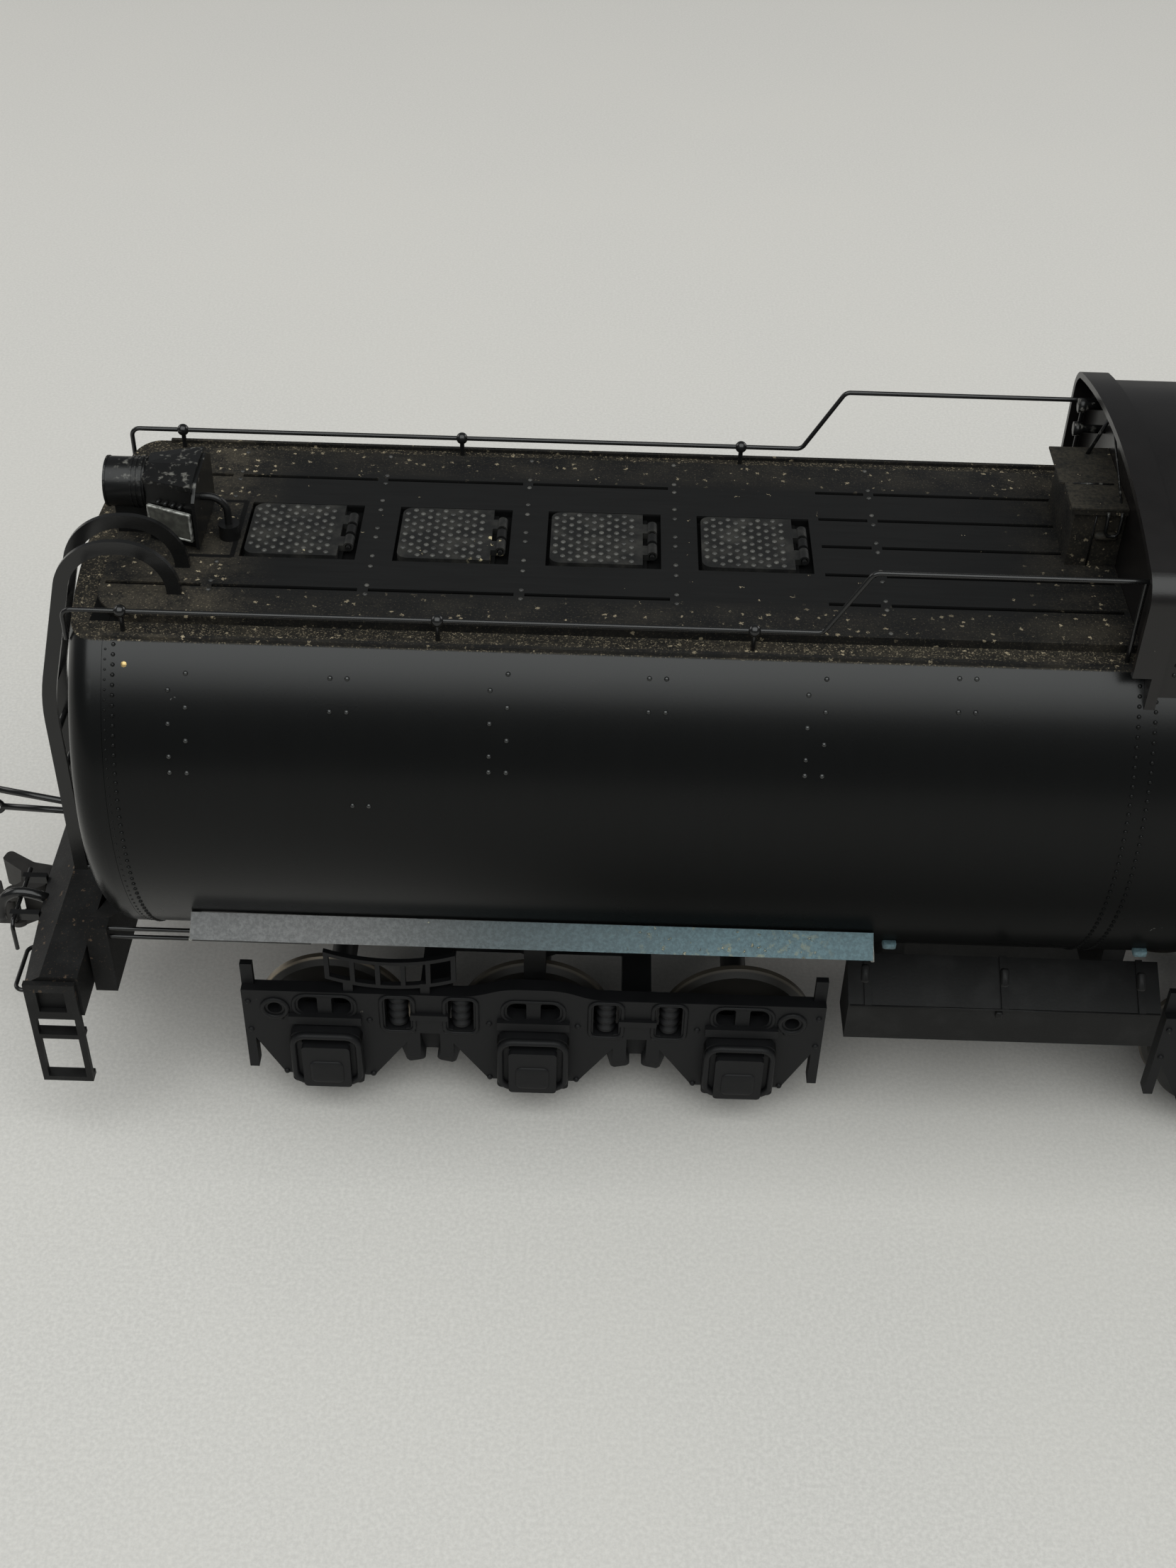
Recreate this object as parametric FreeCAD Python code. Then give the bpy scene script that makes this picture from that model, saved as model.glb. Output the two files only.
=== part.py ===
"""Tender with a cylindrical water tank and two six-wheel trucks, an HO (1:87) brass scale model.

Frame: +X towards the engine, +Y to the tender's left, +Z up, millimetres.
Stations along X are counted from the middle between the trucks and shifted at export, so that the
origin lies under the middle of the overall length. Z is counted from the lowest points of the wheels.
"""
import FreeCAD, Part
import math
import os

V = FreeCAD.Vector
AXIS = {"x": V(1, 0, 0), "y": V(0, 1, 0), "z": V(0, 0, 1)}

# ---------------------------------------------------------------- driving dimensions, mm
seat = 0.02                 # assembly gap between pieces soldered or screwed together
running_gap = 0.3           # clearance round moving pieces

# wheels and trucks
wheel_r = 5.25              # tread radius
flange_h = 0.6
wheel_w = 2.8               # tyre width
flange_w = 0.8
tyre_face = 0.9             # depth of the tyre's outer face
wheel_back = 7.2            # back of each wheel from the centre line
axle_r = 1.0
journal_r = 0.7
journal_end = 12.1          # end of the journal from the centre line
axle_pitch = 15.5
truck_offset = 34.1         # truck centre from the middle
side_in = 10.9              # inner face of the side frames
side_t = 1.1                # side frame thickness
side_top = 12.4             # straight top edge of the side frame
side_hump = 0.9             # rise of the top edge over the middle journal
hump_half = 4.4
side_low = 3.4              # bottom of the pedestals
side_span_z = 8.3           # bottom edge between two pedestals
side_end_z = 7.3            # bottom edge beside the end tabs
side_overhang = 6.1         # side frame beyond the outer axle
pedestal_half = 3.4         # half-width of a pedestal at its bottom
arch_half = 1.05            # half-width of the bottom edge between two pedestals
end_tab_w = 0.7             # tab that hangs down at each end of the side frame
end_tab_low = 4.0
end_post = (0.9, 0.5, 2.1)  # post on each end of the side frame: length, thickness, height
end_hole_r = 0.55
end_hole_inset = 2.4        # hole from the end of the side frame
end_hole_drop = 1.8         # hole below the top edge
kidney_w = 1.45             # openings above each journal
kidney_h = 1.7
kidney_web = 1.05           # web between the two openings of a pair
kidney_drop = 0.55          # top of the openings below the top edge
window_w = 1.9              # spring windows
window_h = 3.2
window_drop = 0.45
window_shift = 2.35         # window from the middle between two axles
spring_r = 0.75
spring_core = 0.5
spring_turns = 4
tie_h = 0.55                # bar between two spring windows
tie_t = 0.3
hanger_w = 1.0              # brake hangers under the bar
hanger_drop = 2.6
hanger_shift = 1.25
band_h = 0.8                # ledge above each journal lid
band_t = 0.4
band_gap = 0.3              # ledge above the hood
hood_half = 2.7             # half-width of the hood round a journal lid
hood_top = 9.0
hood_t = 0.8
slot_h = 0.45               # dark slot between the hood and the lid
lid_half_w = 1.8            # journal lid
lid_proud = 0.5
transom_w = 2.2
transom_h = 3.2
bearer_half = 2.2           # half-width of the bearer between the transoms
plate_r = 2.6               # centre plate
pivot_r = 1.0               # king pin
pivot_len = 2.2
arc_inset = 6.3             # lattice arc on the side frame, from the frame's outer end
arc_len = 9.6
arc_rise = 4.1              # top of the arc's ends above the side frame
arc_h = 2.4                 # depth between its two rails
arc_sag = 0.9
arc_bar = 0.35
arc_t = 0.4
arc_inset_y = 0.15          # arc behind the side frame's outer face
arc_bays = 5
arc_feet = (0.17, 0.76)     # places of the two feet along the arc, as parts of its length

# tank
tank_r = 17.3
tank_bottom = 14.55         # lowest line of the barrel
tank_rear = -61.4           # seam between the barrel and the rear head
tank_front = 61.4
ledge_depth = 4.9           # cut off the top of the barrel
flange_len = 0.6            # straight flange of the rear head
dish_r = 65.0               # crown radius of the rear head
knuckle_r = 1.9             # rounding between the flange and the dish
head_t = 0.8                # front head

# deck
deck_t = 0.6
ledge_w = 1.86              # flat ledge beside the deck
deck_rear = -62.6
deck_corner = 3.0
rim_w = 0.3                 # drip rim along the edge of the flat top
rim_h = 0.25
slot_w = 0.35
plank_edges = (0.0, 3.35, 6.7)      # slots between the planks, from the centre line
joint_len = 0.7             # solid stretch at each cross joint
last_joint = -11.6          # cross joint in front of the hatches
hatch_first = -53.9         # rear end of the first lid
hatch_pitch = 10.15
hatch_count = 4
lid_len = 6.5
lid_half = 3.05
lid_t = 0.45
lid_gap = 0.25
lid_corner = 0.7
well_depth = 3.0
coaming_w = 0.6
coaming_h = 0.25
hinge_r = 0.34
hinge_pin_r = 0.16
hinge_bore_gap = 0.06
lug_half = 0.45             # middle knuckle of each hinge
lug_gap = 0.3
hinge_len = 1.1             # each of the lid's two knuckles
pin_half = 2.1

# fuel end
bulkhead_x = 4.2            # rear face of the bulkhead
bulkhead_t = 0.7
bulkhead_rim = 1.2          # rim that stands out to the rear along the bulkhead's edge
rim_t = 0.45
bunker_half = 13.2
bunker_lip = 0.5            # bulkhead beyond the bunker's skin
bunker_rise = 8.95          # crown of the roof above the flat top of the barrel
roof_r = 42.0               # radius of the roof's arch
bunker_corner = 1.5
bunker_front = 57.0
bunker_hatch_at = 24.0      # filler hatch from the bulkhead
bunker_hatch_r = 4.2
bunker_cover_t = 0.5
deck_box_size = (3.7, 7.7, 4.55)    # length, width, height
deck_box_right = -1.6               # right-hand side of the deck box
deck_box_cover = 0.4                # thickness of its cover
deck_box_eave = 0.3                 # cover beyond the walls

# rails and ladder
wire_r = 0.16
wire_bend = 0.6             # inner bends of the wires
rail_inset = 0.96           # rail from the edge of the flat top
rail_rise = 1.5             # low part of the rail above the flat top
rail_high = 6.1             # high part above the flat top
rail_rear = -64.0
rail_drop = 0.8             # open rear end of the rail below the flat top
post_first = -60.3
post_pitch = 19.95
post_count = 3
post_ball_r = 0.42
rail_bend = (-16.1, -13.4)
stay_inset = 0.9            # upright at the rail's front end, from the bulkhead
stile_w = 0.95
stile_t = 0.35
ladder_right = -7.9
ladder_width = 3.4
ladder_gap = 0.85           # stile clear of the dished head
ladder_lean = 3.0           # how far the stiles lean in above their bend
ladder_bend_z = 9.0         # bend below the deck
stile_foot = 20.2           # lower ends of the stiles
rung_r = 0.2
rung_pitch = 3.4
hook_height = 3.9           # crown of the stiles above the deck
hook_toe = -57.1            # front edge of the hooks where they meet the deck
hook_r = 3.2
stile_r = (16.0, 3.9)       # bends of the stiles

# lamp
lamp_r = 1.65
lamp_wall = 0.3
lamp_rise = 3.45            # lamp's axis above the deck
lamp_rear = -63.0
lamp_len = 2.7
lamp_depth = 0.8
lamp_foot_half = 0.8
housing_len = 3.3
housing_half = 2.5
housing_back_half = 1.5
housing_rise = 1.2          # housing above the lamp's axis
conduit_r = 0.25
conduit_y = -1.0
conduit_reach = 1.9
conduit_bend = 1.2
conduit_base_r = 0.7

# frame and ends
sill_x = 71.5               # outer face of the end sills from the middle
sill_t = 5.0
sill_half = 15.0
sill_flat = 3.0             # straight middle part of the outer face, from the centre line
sill_sweep = 1.1            # outer ends of that face set in towards the trucks
sill_bottom = 12.4
sill_h = 3.9
sill_slope = 1.5            # fall of the outer part of the sill's top
sill_ridge = 2.3            # ridge from the outer face
spine_half = 2.4
spine_bottom = 12.1
belly_bottom = 8.4          # bottom of the centre sill between the trucks
belly_half_len = 10.4
saddle_half = 10.2
saddle_t = 1.6
saddle_h = 6.4
end_saddle_half = 12.2
end_saddle_inset = 1.0      # end saddle from the sill
box_saddle_x = 8.0          # saddles that carry the tool boxes
board_half_len = 23.4       # running board over each truck
board_rise = 8.85           # upper edge of the boards above the tank's lowest line
board_w = 1.9
board_t = 0.35
board_brackets = 4
bracket_t = 0.4
side_box_half_len = 11.3
side_box_w = 3.45
side_box_bottom = 11.2
side_box_front_h = 3.5
side_box_back_h = 5.3
strap_w = 0.5               # hinge straps of the tool boxes
strap_t = 0.15
strap_inset = 1.4
pipe_y = 11.7
pipe_z = (17.3, 18.1)
pipe_len = 14.5
step_len = 3.7
step_plate_h = 3.5          # corner plate above the step
step_hole = 2.0
step_drops = (2.1, 6.7)     # the two treads below the corner plate
step_bar = 0.45
tread_w = 0.9
grab_out = 1.3
grab_from = 9.4            # inner end of each grab iron from the centre line
grab_len = 4.4
grab_up = 1.2               # grab iron above the sill's bottom
lever_out = 1.5             # uncoupling lever behind the rear sill's face
lever_z = 14.9
lever_span = (2.4, 8.4)     # inner end and handle of the lever, from the centre line
lever_drop = 2.6            # handle below the lever
lever_eyes = (3.4, 7.4)     # its two brackets
lever_eye_w = 0.5
coupler_z = 10.5            # 25/64 in above the railhead
pocket_proud = 0.4
pocket_half = 2.9
pocket_wall = 0.5
pocket_floor = 0.8          # thickness below the slot for the shank
pocket_pin_r = 0.6
shank_half = 0.9
shank_h = 1.0
shank_gap = 0.15
eye_r = 1.3
head_h = 2.6
head_outline = (            # coupler head in plan: behind the pulling face, to the left, corner radius
    (4.8, -1.3, 0.3), (4.8, 1.3, 0.3), (3.2, 1.6, 0.5), (0.9, 3.0, 0.4), (0.6, 1.9, 0.3), (2.4, 0.6, 0.4),
    (2.9, -1.3, 0))
hook_outline = (            # knuckle in plan
    (2.6, -1.4, 0.3), (2.6, -2.9, 0.5), (0.0, -2.9, 0.8), (0.0, -0.3, 0.4), (1.1, -0.3, 0.4), (1.3, -1.4, 0.3))
ear_t = 0.45
ear_r = 0.7
ear_foot = 1.0              # inner edge of the ears' roots, from the centre line
knuckle_h = 2.2
knuckle_pin_r = 0.3
knuckle_bore_gap = 0.1
knuckle_at = (2.5, -2.1)    # knuckle's pivot: behind the pulling face, to the left
coupler_proud = 5.9         # pulling face beyond the sill
drawbar_pin_r = 0.8
drawbar_pin_len = 3.6
drawbar_pin_inset = 7.6     # drawbar pin from the front sill's outer face

# derived
flange_r = wheel_r + flange_h
axle_z = flange_r
tank_z = tank_bottom + tank_r
ledge_z = tank_z + tank_r - ledge_depth
ledge_half = math.sqrt(tank_r ** 2 - (ledge_z - tank_z) ** 2)
deck_z = ledge_z + deck_t
flange_end = tank_rear - seat - flange_len
knuckle_turn = math.acos((tank_r - knuckle_r) / (dish_r - knuckle_r))
head_apex = flange_end - knuckle_r * math.sin(knuckle_turn) - dish_r * (1 - math.sin(knuckle_turn))
deck_half = ledge_half - ledge_w
rail_y = ledge_half - rail_inset
rail_z = ledge_z + rail_rise
rail_high_z = ledge_z + rail_high
lamp_z = deck_z + lamp_rise
bunker_crown = ledge_z + bunker_rise
sill_top = sill_bottom + sill_h
side_half = axle_pitch + side_overhang
arc_y = side_in + side_t - arc_inset_y - arc_t
window_top = side_top - window_drop
board_z = tank_bottom + board_rise
board_y = math.sqrt(tank_r ** 2 - (board_z - tank_z) ** 2) + seat
drawbar_pin_x = sill_x - drawbar_pin_inset
pocket_end = -(sill_x - sill_t) - seat
coupler_pivot_x = pocket_end - pocket_wall - eye_r - running_gap
coupler_reach = sill_x + coupler_proud
grab_x = sill_x - sill_sweep + grab_out
front_reach = max(sill_x, grab_x + wire_r)
shift_x = (coupler_reach - front_reach) / 2
axles = (("1", -axle_pitch), ("2", 0.0), ("3", axle_pitch))
trucks = (("rear", -truck_offset), ("front", truck_offset))
hatches = [(n + 1, hatch_first + n * hatch_pitch) for n in range(hatch_count)]


# ---------------------------------------------------------------- helpers
def box(x0, x1, y0, y1, z0, z1):
    """Block between two corners."""
    return Part.makeBox(x1 - x0, y1 - y0, z1 - z0, V(x0, y0, z0))


def rod(start, axis, radius, length):
    """Cylinder from a point along a row axis."""
    return Part.makeCylinder(radius, length, V(*start), AXIS[axis])


def fuse(shapes):
    """One clean solid out of overlapping ones."""
    shapes = list(shapes)
    return shapes[0].multiFuse(shapes[1:]).removeSplitter() if len(shapes) > 1 else shapes[0]


def outline(corners, place):
    """Closed wire through (u, v, corner radius) points; place turns (u, v) into a vector."""
    count = len(corners)
    spans = []
    for i, (u, v, radius) in enumerate(corners):
        here = V(u, v, 0)
        back = V(corners[i - 1][0], corners[i - 1][1], 0) - here
        ahead = V(corners[(i + 1) % count][0], corners[(i + 1) % count][1], 0) - here
        back.normalize()
        ahead.normalize()
        if radius == 0:
            spans.append((here, None, here))
            continue
        half = back.getAngle(ahead) / 2
        reach = radius / math.tan(half)
        middle = (back + ahead).normalize()
        top = here + middle * (radius / math.sin(half) - radius)
        spans.append((here + back * reach, top, here + ahead * reach))
    edges = []
    for i, (first, top, last) in enumerate(spans):
        if top is not None:
            edges.append(Part.Arc(place(*first[:2]), place(*top[:2]), place(*last[:2])).toShape())
        following = spans[(i + 1) % count][0]
        if (following - last).Length > 1e-6:
            edges.append(Part.LineSegment(place(*last[:2]), place(*following[:2])).toShape())
    return Part.Wire(edges)


def slab(corners, axis, start, depth):
    """Outline in the plane square to an axis, extruded along it from start by depth.

    The corners are (y, z), (x, z) or (x, y) for the axes x, y and z.
    """
    place = {"x": lambda u, v: V(start, u, v), "y": lambda u, v: V(u, start, v),
             "z": lambda u, v: V(u, v, start)}[axis]
    return Part.Face(outline(corners, place)).extrude(AXIS[axis] * depth)


def strip(line, width):
    """Outline of a flat bar of a width along an open centre line of (u, v, corner radius) points."""
    sides = ([], [])
    for i, (u, v, radius) in enumerate(line):
        here = V(u, v, 0)
        back = V(*line[i - 1][:2], 0) - here if i else None
        ahead = V(*line[i + 1][:2], 0) - here if i + 1 < len(line) else None
        into = (back * -1 if back else ahead).normalize()
        out = (ahead if ahead else back * -1).normalize()
        normal = (V(-into.y, into.x, 0) + V(-out.y, out.x, 0)).normalize()
        shift = normal * (width / 2 / math.cos(into.getAngle(out) / 2))
        left_turn = into.cross(out).z > 0
        for k, sign in enumerate((1, -1)):
            point = here + shift * sign
            bend = radius + (-sign if left_turn else sign) * width / 2
            sides[k].append((point.x, point.y, bend if radius else 0))
    return sides[0] + sides[1][::-1]


def turned(profile, origin, axis):
    """Solid of revolution about a row axis through origin, from (along, radius) points."""
    put = {"x": lambda a, r: V(a, 0, r), "y": lambda a, r: V(0, a, r), "z": lambda a, r: V(r, 0, a)}[axis]
    points = [put(a, r) + V(*origin) for a, r in profile]
    face = Part.Face(Part.makePolygon(points + points[:1]))
    return face.revolve(V(*origin), AXIS[axis], 360)


def bent_wire(points, radius, bend):
    """Round wire through points, with arcs of one bend radius at the inner points."""
    points = [V(*p) for p in points]
    edges = []
    last = points[0]
    for before, corner, after in zip(points, points[1:], points[2:]):
        back = (before - corner).normalize()
        ahead = (after - corner).normalize()
        half = back.getAngle(ahead) / 2
        reach = bend / math.tan(half)
        top = corner + (back + ahead).normalize() * (bend / math.sin(half) - bend)
        edges.append(Part.LineSegment(last, corner + back * reach).toShape())
        edges.append(Part.Arc(corner + back * reach, top, corner + ahead * reach).toShape())
        last = corner + ahead * reach
    edges.append(Part.LineSegment(last, points[-1]).toShape())
    path = Part.Wire(edges)
    direction = (points[1] - points[0]).normalize()
    section = Part.Wire(Part.makeCircle(radius, points[0], direction))
    return path.makePipeShell([section], True, True)


def both_sides(shape):
    """A shape and its mirror image across the centre plane."""
    return [shape, shape.mirror(V(0, 0, 0), AXIS["y"])]


def tank_circle(x0, x1, radius):
    """Cylinder on the tank's axis."""
    return rod((x0, 0, tank_z), "x", radius, x1 - x0)


def save(node, solids):
    """Write one sub-part, moved so that the overall length is centred."""
    shape = Part.Compound(list(solids)) if len(solids) > 1 else solids[0]
    shape.translate(V(shift_x, 0, 0))
    shape.exportStep("parts/%s.step" % node)


# ---------------------------------------------------------------- tank
def tank_barrel():
    """Barrel with its flat top and a well under each hatch."""
    solid = tank_circle(tank_rear, tank_front, tank_r)
    solid = solid.cut(box(tank_rear, tank_front, -tank_r, tank_r, ledge_z, tank_z + tank_r))
    for _, x in hatches:
        solid = solid.cut(box(x + coaming_w, x + lid_len - coaming_w, coaming_w - lid_half,
                              lid_half - coaming_w, ledge_z - well_depth, ledge_z))
    return [solid]


def rear_head():
    """Dished rear head: straight flange, rounded knuckle and a shallow sphere tangent to it."""
    start = tank_rear - seat

    def on_knuckle(turn):
        return V(flange_end - knuckle_r * math.sin(turn), 0, tank_r - knuckle_r * (1 - math.cos(turn)))
    rim = on_knuckle(knuckle_turn)
    half_angle = math.asin(rim.z / dish_r) / 2
    middle = V(head_apex + dish_r * (1 - math.cos(half_angle)), 0, dish_r * math.sin(half_angle))
    edges = [Part.LineSegment(V(start, 0, 0), V(start, 0, tank_r)),
             Part.LineSegment(V(start, 0, tank_r), V(flange_end, 0, tank_r)),
             Part.Arc(V(flange_end, 0, tank_r), on_knuckle(knuckle_turn / 2), rim),
             Part.Arc(rim, middle, V(head_apex, 0, 0)),
             Part.LineSegment(V(head_apex, 0, 0), V(start, 0, 0))]
    face = Part.Face(Part.Wire([e.toShape() for e in edges]))
    solid = face.revolve(V(0, 0, 0), AXIS["x"], 360)
    solid.translate(V(0, 0, tank_z))
    return [solid.cut(box(head_apex, start, -tank_r, tank_r, ledge_z, tank_z + tank_r))]


def head_face(y, z):
    """Where the rear head's dish lies along X, behind a point of the ladder."""
    return head_apex + dish_r - math.sqrt(dish_r ** 2 - y ** 2 - (z - tank_z) ** 2)


def front_head():
    """Flat front head of the barrel."""
    start = tank_front + seat
    solid = tank_circle(start, start + head_t, tank_r)
    return [solid.cut(box(start, start + head_t, -tank_r, tank_r, ledge_z, tank_z + tank_r))]


def deck_planks():
    """Plank deck with slots between the planks, and openings for the hatches."""
    solid = slab([(deck_rear, -deck_half, deck_corner), (bulkhead_x, -deck_half, 0), (bulkhead_x, deck_half, 0),
                  (deck_rear, deck_half, deck_corner)], "z", ledge_z, deck_t)
    joints = [hatch_first - hatch_pitch / 2 + lid_len / 2 + n * hatch_pitch for n in range(hatch_count)]
    ends = [deck_rear] + joints + [last_joint, bulkhead_x]
    opening_len = lid_len + 2 * hinge_r + 2 * lid_gap
    opening_half = lid_half + lid_gap
    hatch_zone = (hatches[0][1] - lid_gap, hatches[-1][1] - lid_gap + opening_len)
    for before, after in zip(ends, ends[1:]):
        x0 = before + joint_len / 2
        x1 = after - joint_len / 2
        for y in {side * edge for edge in plank_edges for side in (-1, 1)}:
            # beside the hatches only the outer slots run on
            beside = abs(y) < opening_half + slot_w
            if beside and x0 < hatch_zone[1]:
                if x1 < hatch_zone[1]:
                    continue
                x0 = hatch_zone[1] + joint_len
            if x1 - x0 > joint_len:
                solid = solid.cut(box(x0, x1, y - slot_w / 2, y + slot_w / 2, ledge_z, deck_z))
    for _, x in hatches:
        solid = solid.cut(box(x - lid_gap, x - lid_gap + opening_len, -opening_half, opening_half, ledge_z, deck_z))
    return [solid]


def deck_ledges():
    """Drip rails along both edges of the flat top."""
    outer = ledge_half - seat
    rail = box(tank_rear, bulkhead_x, outer - rim_w, outer, ledge_z, ledge_z + rim_h)
    return both_sides(rail)


def hinge_axis(x):
    """Centre line of the hinge of the lid that starts at x: (x, z)."""
    return x + lid_len + hinge_r, ledge_z + coaming_h + seat + hinge_r


def hatch_coamings():
    """Low rims round the wells, each with a hinge lug and pin."""
    rims = []
    for _, x in hatches:
        rim = box(x, x + lid_len, -lid_half, lid_half, ledge_z, ledge_z + coaming_h)
        rim = rim.cut(box(x + coaming_w, x + lid_len - coaming_w, coaming_w - lid_half,
                          lid_half - coaming_w, ledge_z, ledge_z + coaming_h))
        hx, hz = hinge_axis(x)
        lug = box(x + lid_len - coaming_w, hx + hinge_r, -lug_half, lug_half, ledge_z, ledge_z + coaming_h)
        barrel = rod((hx, -lug_half, hz), "y", hinge_r, 2 * lug_half)
        web = box(hx - hinge_r / 2, hx + hinge_r / 2, -lug_half, lug_half, ledge_z, hz)
        pin = rod((hx, -pin_half, hz), "y", hinge_pin_r, 2 * pin_half)
        rims.append(fuse([rim, lug, barrel, web, pin]))
    return rims


def hatch_lid(x):
    """Lid with two hinge knuckles at its front edge."""
    hx, hz = hinge_axis(x)
    bottom = ledge_z + coaming_h + seat
    front = hx - hinge_r - lug_gap
    pieces = [slab([(x, -lid_half, lid_corner), (front, -lid_half, 0), (front, lid_half, 0),
                    (x, lid_half, lid_corner)], "z", bottom, lid_t)]
    for y in (-lug_half - lug_gap - hinge_len, lug_half + lug_gap):
        pieces.append(rod((hx, y, hz), "y", hinge_r, hinge_len))
        pieces.append(box(front - lug_gap, hx, y, y + hinge_len, bottom, bottom + lid_t))
    solid = fuse(pieces)
    return [solid.cut(rod((hx, -lid_half, hz), "y", hinge_pin_r + hinge_bore_gap, 2 * lid_half))]


# ---------------------------------------------------------------- fuel end
def bunker_profile(lip, bottom, x):
    """Face across the fuel end, grown outwards by lip: upright sides, round corners and an arched roof."""
    half = bunker_half + lip
    crown = bunker_crown + lip
    centre = crown - roof_r
    corner = bunker_corner + lip
    # the corner's circle lies inside both the side and the roof's circle
    cy = half - corner
    cz = centre + math.sqrt((roof_r - corner) ** 2 - cy ** 2)
    slope = math.atan2(cz - centre, cy)
    roof = V(x, roof_r * math.cos(slope), centre + roof_r * math.sin(slope))
    bend = V(x, cy + corner * math.cos(slope / 2), cz + corner * math.sin(slope / 2))

    def left(point):
        return V(point.x, -point.y, point.z)
    side = V(x, half, cz)
    foot = V(x, half, bottom)
    edges = [Part.LineSegment(left(foot), foot), Part.LineSegment(foot, side), Part.Arc(side, bend, roof),
             Part.Arc(roof, V(x, 0, crown), left(roof)), Part.Arc(left(roof), left(bend), left(side)),
             Part.LineSegment(left(side), left(foot))]
    return Part.Face(Part.Wire([edge.toShape() for edge in edges]))


def bunker_block(lip, bottom, x, length):
    """Stretch of the fuel end's outer form."""
    return bunker_profile(lip, bottom, x).extrude(AXIS["x"] * length)


def bulkhead():
    """Arch-topped plate across the deck, with a rim that stands out to the rear."""
    plate = bunker_block(bunker_lip, tank_z, bulkhead_x + seat, bulkhead_t - seat)
    rim = bunker_block(bunker_lip, deck_z + seat, bulkhead_x - bulkhead_rim, bulkhead_rim + bulkhead_t)
    rim = rim.cut(bunker_block(bunker_lip - rim_t, deck_z - 1, bulkhead_x - bulkhead_rim, bulkhead_rim + bulkhead_t))
    return [fuse([plate, rim]).cut(barrel_space(bulkhead_x, bulkhead_x + bulkhead_t))]


def barrel_space(x0, x1):
    """The barrel with its flat top, grown by the assembly gap, to be cut out of what sits astride it."""
    round_part = tank_circle(x0, x1, tank_r + seat)
    return round_part.cut(box(x0, x1, -2 * tank_r, 2 * tank_r, ledge_z + seat, tank_z + 2 * tank_r))


def oil_bunker():
    """Fuel bunker astride the front of the barrel."""
    start = bulkhead_x + bulkhead_t + seat
    block = bunker_block(0, tank_z, start, bunker_front - start)
    return [block.cut(barrel_space(start, bunker_front))]


def bunker_hatch():
    """Filler hatch on the bunker's roof."""
    x = bulkhead_x + bunker_hatch_at
    base = bunker_crown - 2 * bunker_cover_t
    rim = rod((x, 0, base), "z", bunker_hatch_r, 4 * bunker_cover_t)
    cover = rod((x, 0, bunker_crown + bunker_cover_t), "z", bunker_hatch_r + bunker_cover_t, bunker_cover_t)
    roof = bunker_block(seat, tank_z, x - 2 * bunker_hatch_r, 4 * bunker_hatch_r)
    return [fuse([rim.cut(roof), cover])]


def deck_box():
    """Locker against the bulkhead."""
    length, width, height = deck_box_size
    x0 = bulkhead_x - length
    y0 = deck_box_right
    top = deck_z + height
    eave = deck_box_eave
    cover_low = top - deck_box_cover
    body = box(x0 + eave, bulkhead_x, y0 + eave, y0 + width - eave, deck_z, cover_low)
    cover = box(x0, bulkhead_x, y0, y0 + width, cover_low, top)
    return [fuse([body, cover])]


# ---------------------------------------------------------------- rails, ladder and lamp
def handrails():
    """Wire rail with ball stanchions on each side of the deck."""
    front = bulkhead_x - seat
    path = [(rail_rear, rail_y, ledge_z - rail_drop), (rail_rear, rail_y, rail_z), (rail_bend[0], rail_y, rail_z),
            (rail_bend[1], rail_y, rail_high_z), (front, rail_y, rail_high_z)]
    pieces = [bent_wire(path, wire_r, wire_bend)]
    for n in range(post_count):
        x = post_first + n * post_pitch
        pieces.append(rod((x, rail_y, ledge_z), "z", wire_r, rail_z - ledge_z))
        pieces.append(Part.makeSphere(post_ball_r, V(x, rail_y, rail_z)))
    pieces.append(rod((front - stay_inset, rail_y, ledge_z), "z", wire_r, rail_high_z - ledge_z))
    return both_sides(fuse(pieces))


def ladder():
    """Two flat stiles that hook over the end of the deck, with round rungs and a stud from each foot to the head."""
    back = head_apex - ladder_gap - stile_w / 2
    toe = hook_toe - stile_w / 2
    crown = deck_z + hook_height - stile_w / 2
    bend_z = deck_z - ladder_bend_z
    line = [(back, stile_foot, 0), (back, bend_z, stile_r[0]), (back + ladder_lean, crown, stile_r[1]),
            (toe, crown, hook_r), (toe, deck_z, 0)]
    pieces = []
    for y in (ladder_right, ladder_right + ladder_width - stile_t):
        pieces.append(slab(strip(line, stile_w), "y", y, stile_t))
        stud_y = y + stile_t / 2
        stud_z = stile_foot + rung_r
        # the dish lies farthest back where the stud is nearest to the tank's axis
        end = head_face(stud_y + stile_t / 2, stud_z + stile_t / 2) - seat
        pieces.append(rod((back, stud_y, stud_z), "x", stile_t / 2, end - back))
    for n in range(int((deck_z - stile_foot) / rung_pitch)):
        z = stile_foot + (n + 0.6) * rung_pitch
        x = back + ladder_lean * max(0, z - bend_z) / (crown - bend_z)
        pieces.append(rod((x, ladder_right, z), "y", rung_r, ladder_width))
    return [fuse(pieces)]


def headlamp():
    """Barrel of the rear headlamp on its bracket."""
    barrel = rod((lamp_rear, 0, lamp_z), "x", lamp_r, lamp_len)
    bore = rod((lamp_rear, 0, lamp_z), "x", lamp_r - lamp_wall, lamp_depth)
    foot = box(deck_rear + seat, lamp_rear + lamp_len, -lamp_foot_half, lamp_foot_half, deck_z, lamp_z)
    return [fuse([barrel, foot]).cut(bore)]


def number_housing():
    """Peaked housing in front of the lamp, with a slanting face on each side for a number board."""
    x0 = lamp_rear + lamp_len + seat
    x1 = x0 + housing_len
    plan = [(x0, -housing_back_half, 0), (x1, -housing_half, 0), (x1, housing_half, 0), (x0, housing_back_half, 0)]
    return [slab(plan, "z", deck_z, lamp_z + housing_rise - deck_z)]


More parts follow.
